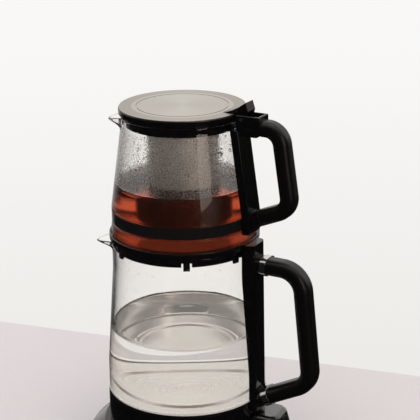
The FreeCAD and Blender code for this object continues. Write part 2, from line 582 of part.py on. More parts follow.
def make_kettle_handle():
    section = rounded_section("grip_half_wide", "grip_half_tall", "grip_round")
    ferrule = rounded_section("grip_half_wide + collar_lip", "grip_half_tall + collar_lip", "grip_round")
    level = f"({glass_base} + grip_level)"
    spine = add_body("kettle_spine")
    foot_face = "skirt_radius + spine_gap"
    neck_face = "neck_radius + spine_gap"
    belly = f"{glass_base} + belly_height"
    shoulder = f"{glass_base} + shoulder_height"
    head = f"{glass_base} + spine_head"
    inside = "neck_radius - spine_root"
    side_block(spine, [(inside, "spine_foot"), (f"{foot_face} + spine_foot_depth", "spine_foot", "2"),
                       (f"{neck_face} + spine_head_depth", head), (inside, head)], "spine_half")
    outer = value("neck_radius + spine_head_depth")
    soften(spine, "spine_round", lambda box: abs(box.Center.y) > 1 and box.XMin > outer - 1)
    tube(spine, [("neck_radius", level), ("collar_start", level)], section)
    tube(spine, [("kettle_radius", kettle_run("kettle_radius")),
                 ("collar_start + 3", kettle_run("collar_start + 3"))], section, "grip_slope")
    # its back is hollowed to the skirt, the trim ring, the glass and the seat ring, a gap away from each
    spin(spine, [("0", "spine_foot - 1"), (foot_face, "spine_foot - 1"),
                 (foot_face, f"{glass_base} + trim_height + spine_gap"),
                 ("kettle_radius + spine_gap", f"{glass_base} + trim_height + spine_gap"),
                 ("kettle_radius + spine_gap", belly, "belly_round"), (neck_face, shoulder, "belly_round"),
                 (neck_face, f"{kettle_rim} - spine_gap"),
                 ("flange_radius + spine_gap", f"{kettle_rim} - spine_gap"),
                 ("flange_radius + spine_gap", f"{head} + 1"), ("0", f"{head} + 1")], cut=True)
    tube(spine, [("neck_radius", level), ("collar_start + 1", level)],
         "grip_screw_radius + fit_gap", cut=True)
    upper = add_body("handle_ferrule_upper")
    tube(upper, [("collar_start", level), ("collar_end", level)], ferrule)
    tube(upper, [("collar_start - 1", level), ("collar_end + 1", level)],
         "grip_screw_radius + fit_gap", cut=True)
    lower = add_body("handle_ferrule_lower")
    tube(lower, [("collar_start + 3", kettle_run("collar_start + 3")),
                 ("collar_end + 3", kettle_run("collar_end + 3"))], ferrule, "grip_slope")
    grip = add_body("kettle_handle")
    tube(grip, [("collar_end", level), ("grip_reach", level, "grip_bend"),
                ("grip_low_reach", f"{glass_base} + grip_low", "grip_bend_low"),
                ("collar_end + 3", kettle_run("collar_end + 3"))], section)
    tube(grip, [("collar_end - 1", level), ("collar_end + grip_screw_reach", level)],
         "grip_screw_radius + fit_gap", cut=True)
    screw = add_body("kettle_handle_screw")
    tube(screw, [(f"{neck_face} + 0.4", level), ("collar_end + grip_screw_reach - 0.5", level)],
         "grip_screw_radius")


# ---------------------------------------------------------------- seat ring

def make_seat_ring():
    body = add_body("seat_ring")
    skirt = ring_skirt_radius
    skirt_inner = f"({skirt} - ring_skirt_wall)"
    low = f"({kettle_rim} - ring_skirt_drop)"
    top = f"{kettle_rim} + flange_thick"
    spin(body, [(skirt_inner, low), (skirt, low), (skirt, kettle_rim), ("flange_radius", kettle_rim, "0.8"),
                ("flange_radius", top, "0.5"), ("flange_radius - flange_lip", top),
                ("flange_radius - flange_lip", pot_base), ("ring_bore", pot_base),
                ("ring_bore", f"{kettle_rim} - ring_floor"), (skirt_inner, f"{kettle_rim} - ring_floor")])
    bearings = [f"{sign}{name}" for name in ("finger_near", "finger_mid", "finger_far") for sign in ("", "-")]
    gaps = [radial_bar(f"{skirt_inner} - 1", f"{skirt} + 1", "finger_half + finger_slot", turn)
            for turn in bearings]
    upright_block(body, gaps, f"{low} - 1", f"{low} + finger_root", cut=True)
    fingers = [radial_bar(f"{skirt_inner} + 0.2", f"{skirt} - 0.2", "finger_half", turn) for turn in bearings]
    upright_block(body, fingers, f"{kettle_rim} - finger_drop", f"{low} + finger_root + 0.5")


# ---------------------------------------------------------------- teapot

def pot_cone(height):
    """Outer radius of the teapot's cone at a height above its base."""
    slope = "(pot_waist_radius - pot_neck_radius) / (pot_height - pot_neck - band_groove_high)"
    return f"(pot_waist_radius - (({height}) - band_groove_high) * {slope})"


def make_teapot_glass():
    body = add_body("teapot_glass")
    belly = f"{pot_base} + pot_belly"
    neck = f"{pot_rim} - pot_neck"
    low = f"{pot_base} + band_groove_low"
    high = f"{pot_base} + band_groove_high"
    groove = "pot_waist_radius - band_groove_deep"
    spin(body, [("0", pot_base), ("pot_radius", pot_base, "pot_heel_round"), ("pot_radius", belly),
                ("pot_waist_radius", low), (groove, f"{low} + band_groove_deep * 0.7"),
                (groove, f"{high} - band_groove_deep * 0.7"), ("pot_waist_radius", high),
                ("pot_neck_radius", neck, "20"), ("pot_neck_radius", pot_rim), ("0", pot_rim)])
    spout(body, "pot_spout_reach", "pot_neck_radius - spout_root", "pot_spout_half", "pot_spout_deep",
          pot_rim, "0")
    inner_floor = f"({pot_base} + pot_wall)"
    spin(body, [("0", inner_floor), (f"{groove} - pot_wall", inner_floor, "pot_heel_round - pot_wall"),
                (f"{groove} - pot_wall", f"{high} - band_groove_deep * 0.7"),
                ("pot_neck_radius - pot_wall", neck, "20"), ("pot_neck_radius - pot_wall", f"{pot_rim} + 1"),
                ("0", f"{pot_rim} + 1")], cut=True)
    spout(body, "pot_spout_reach + 0.5", "pot_neck_radius - spout_root - 1", "pot_spout_half",
          "pot_spout_deep", pot_rim, "pot_wall * 0.8")
    turn_spout(body)


def make_teapot_band():
    body = add_body("teapot_band")
    inner = "pot_waist_radius - band_wall"
    low = f"{pot_base} + band_groove_low + band_margin"
    high = f"{pot_base} + band_groove_high - band_margin"
    spin(body, [(inner, low), ("pot_waist_radius", low), ("pot_waist_radius", high), (inner, high)])
    band_screw(body, "band_screw_radius + fit_gap", f"{inner} - 1", "pot_waist_radius + 1", cut=True)
    screw = add_body("band_screw")
    band_screw(screw, "band_screw_radius", f"{inner} + 0.1", "pot_waist_radius + band_screw_reach")


def band_screw(body, radius, inner, outer, cut=False):
    """A round that runs level from the band into the foot of the teapot's handle."""
    level = f"({pot_base} + (band_groove_low + band_groove_high) / 2)"
    return tube(body, [(inner, level), (outer, level)], radius, cut=cut)


def make_teapot_handle():
    section = rounded_section("pot_grip_half_wide", "pot_grip_half_tall", "pot_grip_round")
    level = f"({pot_rim} - pot_grip_drop)"
    spine = add_body("teapot_spine")
    foot = f"{pot_base} + pot_spine_foot"
    shelf = f"{pot_rim} - housing_drop"
    head = f"{pot_rim} - pot_spine_drop"
    waist = f"{pot_base} + band_groove_high"
    waist_face = "pot_waist_radius + pot_spine_gap"
    neck_face = f"{pot_cone('pot_height - pot_spine_drop')} + pot_spine_gap"
    inside = "pot_neck_radius - pot_spine_depth"
    side_block(spine, [(inside, foot), (f"{waist_face} + pot_spine_depth", foot, "2"),
                       (f"{waist_face} + pot_spine_depth", waist), (f"{neck_face} + pot_spine_depth", head),
                       (inside, head)], "pot_spine_half")
    outer = value(f"{neck_face} + pot_spine_depth")
    soften(spine, "pot_spine_round", lambda box: abs(box.Center.y) > 1 and box.XMin > outer - 1)
    top = f"{pot_rim} + housing_rise"
    side_block(spine, [("housing_inner", shelf), ("pot_grip_start", shelf, "3"), ("pot_grip_start", top),
                       ("housing_inner", top)], "housing_half")
    soften(spine, "housing_round",
           lambda box: box.ZMin > value(top) - 0.01 and box.XMax > value("housing_inner") + 1)
    tube(spine, [("pot_waist_radius", pot_run("pot_waist_radius")),
                 ("pot_grip_start", pot_run("pot_grip_start"))], section, "pot_grip_slope")
    # its back is hollowed to the glass, a gap away from it
    spin(spine, [("0", f"{foot} - 1"), (waist_face, f"{foot} - 1"), (waist_face, waist),
                 (neck_face, head), ("pot_neck_radius", f"{head} + 1"), ("0", f"{head} + 1")], cut=True)
    side_block(spine, [("housing_inner - 1", f"{pot_rim} - pocket_drop"),
                       ("pot_grip_start - housing_wall", f"{pot_rim} - pocket_drop"),
                       ("pot_grip_start - housing_wall", f"{top} + 1"), ("housing_inner - 1", f"{top} + 1")],
               "housing_half - housing_wall", cut=True)
    hinge_pin_bore(spine, "pin_radius + fit_gap", "housing_half + 1", cut=True)
    band_screw(spine, "band_screw_radius + fit_gap", "pot_waist_radius - 1",
               "pot_waist_radius + band_screw_reach + 0.2", cut=True)
    grip = add_body("teapot_handle")
    tube(grip, [("pot_grip_start", level), (pot_grip_reach, level, "pot_grip_bend"),
                (pot_grip_low_reach, f"{pot_base} + pot_grip_low", "pot_grip_bend"),
                ("pot_grip_start", pot_run("pot_grip_start"))], section)
    pin = add_body("lid_hinge_pin")
    hinge_pin_bore(pin, "pin_radius", "housing_half")


def hinge_pin_bore(body, radius, half, cut=False):
    """A round along the lid hinge's axis, level and across the handle."""
    sketch = add_sketch(body, "XZ_Plane")
    add_circle(sketch, ("pin_reach", pin_level), radius)
    return extrude(body, sketch, f"2 * ({half})", cut, both=True)


# ---------------------------------------------------------------- lid

def make_lid():
    cap = add_body("lid_cap")
    cap_top = f"({lid_floor} + lid_cap_thick)"
    plug_low = f"({lid_floor} - plug_ring_drop)"
    gasket_low = f"({plug_low} + gasket_low)"
    spin(cap, [("0", lid_floor), ("plug_ring_radius - plug_ring_wall", lid_floor),
               ("plug_ring_radius - plug_ring_wall", plug_low), ("plug_ring_radius", plug_low),
               ("plug_ring_radius", gasket_low), ("gasket_inner", gasket_low),
               ("gasket_inner", f"{gasket_low} + gasket_tall"),
               ("plug_ring_radius", f"{gasket_low} + gasket_tall"),
               ("plug_ring_radius", lid_floor), ("lid_radius", lid_floor, "lid_edge_round"),
               ("lid_radius", cap_top), ("0", cap_top)])
    arm_half = "(housing_half - housing_wall - arm_gap)"
    # arm, barrel and thumb tab in one piece with the cap
    side_block(cap, [("tab_start + 6", lid_floor), ("pin_reach", f"{pin_level} - barrel_radius", "1"),
                     ("pin_reach + barrel_radius", f"{pin_level} - barrel_radius", "2.6"),
                     ("tab_back", f"{lid_top} + tab_back_rise"), ("tab_reach", f"{lid_top} + tab_rise"),
                     ("tab_start + 9", f"{lid_top} + tab_rise * 0.22", "40"), ("tab_start", lid_top),
                     ("tab_start", lid_floor)], arm_half)
    hinge_pin_bore(cap, "pin_radius + fit_gap", f"{arm_half} + 1", cut=True)
    plate = add_body("lid_plate")
    edge = "lid_radius - lid_plate_inset"
    groove_in = "lid_groove_radius - lid_groove_wide / 2"
    groove_out = "lid_groove_radius + lid_groove_wide / 2"
    spin(plate, [("0", cap_top), (edge, cap_top), (edge, lid_top, "0.5"), (groove_out, lid_top),
                 (groove_out, f"{lid_top} - lid_groove_deep"), (groove_in, f"{lid_top} - lid_groove_deep"),
                 (groove_in, lid_top), ("0", lid_top)])
    notch = f"{arm_half} + 0.3"
    upright_block(plate, [[("tab_start - 0.3", f"-({notch})"), ("lid_radius + 1", f"-({notch})"),
                           ("lid_radius + 1", notch), ("tab_start - 0.3", notch)]],
                  f"{cap_top} - 1", f"{lid_top} + 1", cut=True)
    gasket = add_body("lid_gasket")
    spin(gasket, [("gasket_inner", gasket_low), ("gasket_radius", gasket_low, "0.4"),
                  ("gasket_radius", f"{gasket_low} + gasket_tall", "0.4"),
                  ("gasket_inner", f"{gasket_low} + gasket_tall")])


# ---------------------------------------------------------------- strainer

def make_strainer():
    collar = add_body("strainer_collar")
    low = f"({pot_rim} - collar_drop)"
    ledge = f"({low} + collar_ledge_thick)"
    inner = "collar_radius - collar_wall"
    spin(collar, [("collar_ledge", low), ("collar_radius", low), ("collar_radius", pot_rim),
                  ("collar_lip_radius", pot_rim),
                  ("collar_lip_radius", f"{pot_rim} + collar_lip_thick", "0.5"),
                  (inner, f"{pot_rim} + collar_lip_thick", "0.5"), (inner, ledge), ("collar_ledge", ledge)])
    slots = [radial_bar(f"{inner} + 0.4", "collar_radius + 1", "collar_slot_half", turn)
             for turn in ("slot_near", "-slot_near", "slot_far", "-slot_far")]
    upright_block(collar, slots, f"{low} - 1", f"{low} + collar_slot_tall", cut=True)
    basket = add_body("strainer_basket")
    floor = f"({pot_base} + basket_floor)"
    flange_top = f"{ledge} + basket_wall"
    spin(basket, [("0", floor), ("basket_radius", floor, "1.6"), ("basket_radius", ledge),
                  ("basket_flange", ledge), ("basket_flange", flange_top),
                  ("basket_radius - basket_wall", flange_top),
                  ("basket_radius - basket_wall", f"{floor} + basket_wall", "0.8"),
                  ("0", f"{floor} + basket_wall")])


make_base_shell()
make_control_pod()
make_base_plate()
make_base_fittings()
make_connector()
make_control()
make_kettle_glass()
make_kettle_foot()
make_kettle_heater()
make_kettle_handle()
make_seat_ring()
make_teapot_glass()
make_teapot_band()
make_teapot_handle()
make_lid()
make_strainer()
doc.recompute()

faults = [thing.Name for thing in doc.Objects if "Invalid" in thing.State or "Error" in thing.State]
faults += [piece.Label for piece in pieces if piece.Shape.isNull() or not piece.Shape.isValid()]
if faults:
    raise RuntimeError("these failed to build: " + ", ".join(faults))

for piece in pieces:
    piece.Shape.exportStep(f"parts/{piece.Label}.step")
    box = piece.Shape.BoundBox
    print(f"{piece.Label:24s} solids {len(piece.Shape.Solids)} volume {piece.Shape.Volume:10.1f} "
          f"x {box.XMin:.1f}..{box.XMax:.1f} y {box.YMin:.1f}..{box.YMax:.1f} "
          f"z {box.ZMin:.1f}..{box.ZMax:.1f}")
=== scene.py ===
import math
import random

import bmesh
import bpy
from mathutils import Matrix, Vector


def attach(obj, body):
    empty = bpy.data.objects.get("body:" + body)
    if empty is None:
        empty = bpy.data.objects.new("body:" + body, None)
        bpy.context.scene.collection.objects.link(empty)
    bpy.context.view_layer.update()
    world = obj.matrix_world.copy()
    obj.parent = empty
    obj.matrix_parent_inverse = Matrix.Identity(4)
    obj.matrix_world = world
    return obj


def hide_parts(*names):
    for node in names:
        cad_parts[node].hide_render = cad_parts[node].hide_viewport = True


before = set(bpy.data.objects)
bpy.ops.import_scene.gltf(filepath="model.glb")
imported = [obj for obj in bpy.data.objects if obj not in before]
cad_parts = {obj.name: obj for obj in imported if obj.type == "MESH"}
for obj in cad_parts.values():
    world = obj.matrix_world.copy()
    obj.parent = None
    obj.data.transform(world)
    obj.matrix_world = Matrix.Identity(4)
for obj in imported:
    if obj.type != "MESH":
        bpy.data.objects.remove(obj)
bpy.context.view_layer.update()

print("frame loaded:", len(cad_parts), "nodes")


def linearColour(hexText):
    # sRGB hex to the linear values that shaders take, with an alpha of 1
    parts = [int(hexText[i:i + 2], 16) / 255 for i in (1, 3, 5)]
    return tuple(p / 12.92 if p <= 0.04045 else ((p + 0.055) / 1.055) ** 2.4 for p in parts) + (1.0,)


def addNode(tree, kind, settings=None, links=None):
    # settings and links are keyed by an input's name or number; other settings are the node's own
    node = tree.nodes.new(kind)
    for key, setting in (settings or {}).items():
        if isinstance(key, int) or key in node.inputs:
            node.inputs[key].default_value = setting
        else:
            setattr(node, key, setting)
    for key, (source, output) in (links or {}).items():
        tree.links.new(source.outputs[output], node.inputs[key])
    return node


def startMaterial(name):
    material = bpy.data.materials.new(name)
    material.use_nodes = True
    material.node_tree.nodes.clear()
    return material, material.node_tree


def grainBump(tree, pitchMm, heightMm, detail=2.0, bevelMm=0.0):
    # bump from noise whose cells are pitchMm across, over a rounded-off edge if bevelMm is given
    place = addNode(tree, "ShaderNodeTexCoord")
    scaled = addNode(tree, "ShaderNodeMapping", {"Scale": [1000 / pitchMm] * 3},
                     {"Vector": (place, "Object")})
    noise = addNode(tree, "ShaderNodeTexNoise", {"Scale": 1.0, "Detail": detail, "Roughness": 0.55},
                    {"Vector": (scaled, "Vector")})
    links = {"Height": (noise, "Fac")}
    if bevelMm:
        edge = addNode(tree, "ShaderNodeBevel", {"samples": 4, "Radius": bevelMm / 1000})
        links["Normal"] = (edge, "Normal")
    bump = addNode(tree, "ShaderNodeBump", {"Strength": 1.0, "Distance": heightMm / 1000}, links)
    return bump, noise


def roughnessFrom(tree, noise, low, high):
    # roughness that wanders between two values with a noise
    return addNode(tree, "ShaderNodeMapRange",
                   {"From Min": 0.3, "From Max": 0.7, "To Min": low, "To Max": high},
                   {"Value": (noise, "Fac")})


def colourFrom(tree, noise, first, second):
    # colour that wanders between two shades with a noise
    ramp = addNode(tree, "ShaderNodeValToRGB", {}, {"Fac": (noise, "Fac")})
    ramp.color_ramp.elements[0].position = 0.32
    ramp.color_ramp.elements[0].color = linearColour(first)
    ramp.color_ramp.elements[1].position = 0.68
    ramp.color_ramp.elements[1].color = linearColour(second)
    return ramp


def endMaterial(tree, shader, volume=None):
    output = addNode(tree, "ShaderNodeOutputMaterial", {}, {"Surface": (shader, 0)})
    if volume:
        tree.links.new(volume.outputs[0], output.inputs["Volume"])


def solidMaterial(name, shades, roughness, pitchMm, heightMm, ior=None, bevelMm=0.0, coat=0.0):
    # an opaque material: two shades, a roughness range and a grain of a real size; without an ior, a metal
    material, tree = startMaterial(name)
    bump, noise = grainBump(tree, pitchMm, heightMm, bevelMm=bevelMm)
    settings = {"Metallic": 0 if ior else 1, "Coat Weight": coat, "Coat Roughness": 0.08}
    if ior:
        settings["IOR"] = ior
    shader = addNode(tree, "ShaderNodeBsdfPrincipled", settings,
                     {"Base Color": (colourFrom(tree, noise, *shades), "Color"),
                      "Roughness": (roughnessFrom(tree, noise, *roughness), "Result"),
                      "Normal": (bump, "Normal")})
    endMaterial(tree, shader)
    return material


def clearMaterial(name, tint, ior, bump, roughness=0.0, absorb=None, density=0.0, paintedEdgeShade=None, veil=None):
    # a see-through material that also lets lamps through; bump and veil are functions of the tree, and
    # the edge shade says from which share of a glancing look the wall's colour is darkened, and to what:
    # painted shade at the glass's edges
    material, tree = startMaterial(name)
    links = {"Normal": (bump(tree), "Normal")}
    if veil:
        links["Roughness"] = (veil(tree), "Result")
    if paintedEdgeShade:
        # painted shade: the wall's colour darkens towards its edges, where the look glances
        facing = addNode(tree, "ShaderNodeLayerWeight", {"Blend": 0.5})
        shade = addNode(tree, "ShaderNodeValToRGB", {}, {"Fac": (facing, "Facing")})
        shade.color_ramp.elements[0].position = paintedEdgeShade["from"]
        shade.color_ramp.elements[0].color = linearColour(tint)
        shade.color_ramp.elements[1].position = paintedEdgeShade["to"]
        shade.color_ramp.elements[1].color = linearColour(paintedEdgeShade["shade"])
        links["Base Color"] = (shade, "Color")
    shader = addNode(tree, "ShaderNodeBsdfPrincipled",
                     {"Base Color": linearColour(tint), "Transmission Weight": 1.0, "Roughness": roughness,
                      "IOR": ior}, links)
    shadow = addNode(tree, "ShaderNodeBsdfTransparent", {"Color": linearColour(tint)})
    path = addNode(tree, "ShaderNodeLightPath")
    scattered = addNode(tree, "ShaderNodeMixShader", {},
                        {0: (path, "Is Diffuse Ray"), 1: (shader, 0), 2: (shadow, 0)})
    both = addNode(tree, "ShaderNodeMixShader", {},
                   {0: (path, "Is Shadow Ray"), 1: (scattered, 0), 2: (shadow, 0)})
    volume = None
    if absorb:
        volume = addNode(tree, "ShaderNodeVolumeAbsorption",
                         {"Color": linearColour(absorb), "Density": density})
    endMaterial(tree, both, volume)
    return material


def dress(material, *nodes):
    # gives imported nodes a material; their meshes stay as they are
    for name in nodes:
        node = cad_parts[name]
        if not node.material_slots:
            node.data.materials.append(material)
        for slot in node.material_slots:
            slot.material = material


def meshObject(name, mesh, materials, body, replaced=()):
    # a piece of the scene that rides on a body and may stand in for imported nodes
    piece = bpy.data.objects.new(name, mesh)
    bpy.context.scene.collection.objects.link(piece)
    for material in materials:
        mesh.materials.append(material)
    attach(piece, body)
    if replaced:
        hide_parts(*replaced)


# ABS, injection moulded against a polished steel mould: black, glossy, with a faint orange peel
mouldedAbs = solidMaterial("mouldedGlossAbs", ("#080708", "#0c0b0c"), (0.1, 0.16), pitchMm=3.2,
                           heightMm=0.002, ior=1.5, bevelMm=0.5)
# the same ABS under a clear lacquer: a deeper gloss, for the housing that holds the button
lacqueredAbs = solidMaterial("lacqueredGlossAbs", ("#0b0a0a", "#0e0c0c"), (0.22, 0.3), pitchMm=3.2,
                             heightMm=0.002, ior=1.55, bevelMm=0.5, coat=1.0)
# ABS filled with carbon black, from a polished mould: the band round the teapot, a little greyer
bandAbs = solidMaterial("carbonBlackAbs", ("#161314", "#181516"), (0.09, 0.13), pitchMm=6.0,
                        heightMm=0.001, ior=1.5, bevelMm=0.2)
# polypropylene from a lightly blasted mould: black satin, the highlight spreads along the grip
satinPolypropylene = solidMaterial("satinPolypropylene", ("#080707", "#0c0b0b"), (0.3, 0.38), pitchMm=1.6,
                                   heightMm=0.001, ior=1.42)
# ABS from a spark-eroded mould, as undersides are: dull black with a fine pebble of 0.8 mm
pebbledAbs = solidMaterial("sparkErodedAbs", ("#131213", "#1b1a1a"), (0.5, 0.62), pitchMm=0.8,
                           heightMm=0.03, ior=1.53, bevelMm=0.3)
# PBT, moulded: cream, dull, for the thermostat's housing
mouldedPbt = solidMaterial("mouldedPbt", ("#c9c0a8", "#d6cdb6"), (0.45, 0.55), pitchMm=2.5, heightMm=0.01,
                           ior=1.55)
# nitrile rubber, moulded: dark grey, matt and slightly dusty
mouldedRubber = solidMaterial("mouldedNitrileRubber", ("#171616", "#252423"), (0.7, 0.85), pitchMm=0.9,
                              heightMm=0.03, ior=1.52)
# silicone rubber, moulded: milky grey, soft sheen
mouldedSilicone = solidMaterial("mouldedSilicone", ("#8f8c86", "#a19e98"), (0.4, 0.5), pitchMm=2.0,
                                heightMm=0.01, ior=1.41)
# glass-filled epoxy board, solder mask over copper: green satin with a faint grain of 1.4 mm
laminatedBoard = solidMaterial("solderMaskedEpoxyBoard", ("#0d3b22", "#175034"), (0.3, 0.4), pitchMm=1.4,
                               heightMm=0.02, ior=1.5)

trimLook = {
    # painted shade: below footMm above the table, over an edge of blurMm, the ring is drawn dark and not
    # metal, in the colour under bead
    "footMm": 60.9, "blurMm": 0.1, "steel": "#f8f4ee", "bead": "#0b0a0a", "metallic": 0.25,
    "roughness": (0.2, 0.3), "pitchMm": 5.0, "heightMm": 0.01}


def makeTrimSteel():
    # 304 stainless steel, rolled and polished, with painted shade on its foot, where it is drawn dark
    material, tree = startMaterial("polishedTrimSteel")
    bump, noise = grainBump(tree, trimLook["pitchMm"], trimLook["heightMm"])
    place = addNode(tree, "ShaderNodeTexCoord")
    apart = addNode(tree, "ShaderNodeSeparateXYZ", {}, {"Vector": (place, "Object")})
    foot, blur = trimLook["footMm"] / 1000, trimLook["blurMm"] / 1000
    # painted shade: below the foot the steel turns dark and loses its metal
    abovePaintedShade = addNode(tree, "ShaderNodeMapRange", {"From Min": foot - blur, "From Max": foot + blur},
                   {"Value": (apart, "Z")})
    shade = addNode(tree, "ShaderNodeMix", {"data_type": "RGBA", 6: linearColour(trimLook["bead"]),
                                            7: linearColour(trimLook["steel"])}, {0: (abovePaintedShade, "Result")})
    metal = addNode(tree, "ShaderNodeMath", {"operation": "MULTIPLY", 1: trimLook["metallic"]},
                    {0: (abovePaintedShade, "Result")})
    shader = addNode(tree, "ShaderNodeBsdfPrincipled", {},
                     {"Base Color": (shade, 2), "Metallic": (metal, "Value"), "Normal": (bump, "Normal"),
                      "Roughness": (roughnessFrom(tree, noise, *trimLook["roughness"]), "Result")})
    endMaterial(tree, shader)
    return material


# chrome plating over moulded ABS: near mirror, cool
chromePlated = solidMaterial("chromePlatedAbs", ("#c6c6c8", "#d2d2d4"), (0.05, 0.1), pitchMm=6.0,
                             heightMm=0.004, bevelMm=0.4)
# zinc plated steel, for screws: greyish, a little dull
zincSteel = solidMaterial("zincPlatedSteel", ("#9b9c9e", "#b3b4b6"), (0.3, 0.42), pitchMm=1.2,
                          heightMm=0.01, bevelMm=0.15)
# aluminium, pressure cast: pale grey with a sandy skin of 1 mm
castAluminium = solidMaterial("castAluminium", ("#93948f", "#a9aaa6"), (0.45, 0.6), pitchMm=1.0,
                              heightMm=0.04)
# brass, turned: warm yellow
turnedBrass = solidMaterial("turnedBrass", ("#a98a4c", "#c2a361"), (0.2, 0.3), pitchMm=0.5,
                            heightMm=0.004, bevelMm=0.1)

spunLook = {
    # shades inside and outside a step of this radius, and the pitch and depth of the lathe's rings
    "lid": {"stepMm": 43.4, "inside": ("#bcb7b0", "#c7c2ba"), "outside": ("#a59f97", "#b0aaa3"),
            "pitchMm": 1.1, "heightMm": 0.006, "roughness": (0.3, 0.4), "metallic": 1.0, "anisotropy": 0.5},
    "floor": {"stepMm": 46.0, "inside": ("#f6f2ec", "#fdfaf5"), "outside": ("#f2eee8", "#f9f6f1"),
              "pitchMm": 1.6, "heightMm": 0.0025, "roughness": (0.2, 0.28), "metallic": 0.7,
              "anisotropy": 0.6}}


def makeSpunSteel(name, look):
    # 304 stainless steel, spun in a lathe: fine rings round the centre that stretch the highlight into a fan;
    # the real rings are 0.2 mm apart, drawn 1.1 and 1.6 mm apart so that they show
    material, tree = startMaterial(name)
    place = addNode(tree, "ShaderNodeTexCoord")
    apart = addNode(tree, "ShaderNodeSeparateXYZ", {}, {"Vector": (place, "Object")})
    flat = addNode(tree, "ShaderNodeCombineXYZ", {}, {"X": (apart, "X"), "Y": (apart, "Y")})
    reach = addNode(tree, "ShaderNodeVectorMath", {"operation": "LENGTH"}, {0: (flat, "Vector")})
    line = addNode(tree, "ShaderNodeCombineXYZ", {}, {"X": (reach, "Value")})
    rings = addNode(tree, "ShaderNodeTexNoise",
                    {"Scale": 1000 / look["pitchMm"], "Detail": 3.0}, {"Vector": (line, "Vector")})
    bump = addNode(tree, "ShaderNodeBump", {"Strength": 1.0, "Distance": look["heightMm"] / 1000},
                   {"Height": (rings, "Fac")})
    inner = addNode(tree, "ShaderNodeMath", {"operation": "LESS_THAN", 1: look["stepMm"] / 1000},
                    {0: (reach, "Value")})
    disc, ring = (colourFrom(tree, rings, *look[k]) for k in ("inside", "outside"))
    shade = addNode(tree, "ShaderNodeMix", {"data_type": "RGBA"},
                    {0: (inner, "Value"), 6: (ring, "Color"), 7: (disc, "Color")})
    rough = roughnessFrom(tree, rings, *look["roughness"])
    tangent = addNode(tree, "ShaderNodeTangent", {"direction_type": "RADIAL", "axis": "Z"})
    shader = addNode(tree, "ShaderNodeBsdfPrincipled",
                     {"Metallic": look["metallic"], "Anisotropic": look["anisotropy"]},
                     {"Base Color": (shade, 2), "Roughness": (rough, "Result"), "Normal": (bump, "Normal"),
                      "Tangent": (tangent, "Tangent")})
    endMaterial(tree, shader)
    return material


meshLook = {
    # wireShare is the part of a pitch that a wire covers; the wall is mesh between two heights, and is
    # drawn darker up to another, the tea's level: painted shade
    "pitchMm": 1.5, "wireShare": 0.5, "radiusMm": 31.0, "wallMm": (219.0, 302.2), "teaMm": 250.6,
    "blurMm": 1.0, "shadedInTea": ("#5c5146", "#6b5f53"), "clean": ("#d2cdc6", "#e2ddd6"), "spotsPerMetre": 120.0,
    "bumpMm": 0.2, "metallic": 0.6, "roughness": (0.35, 0.45)}


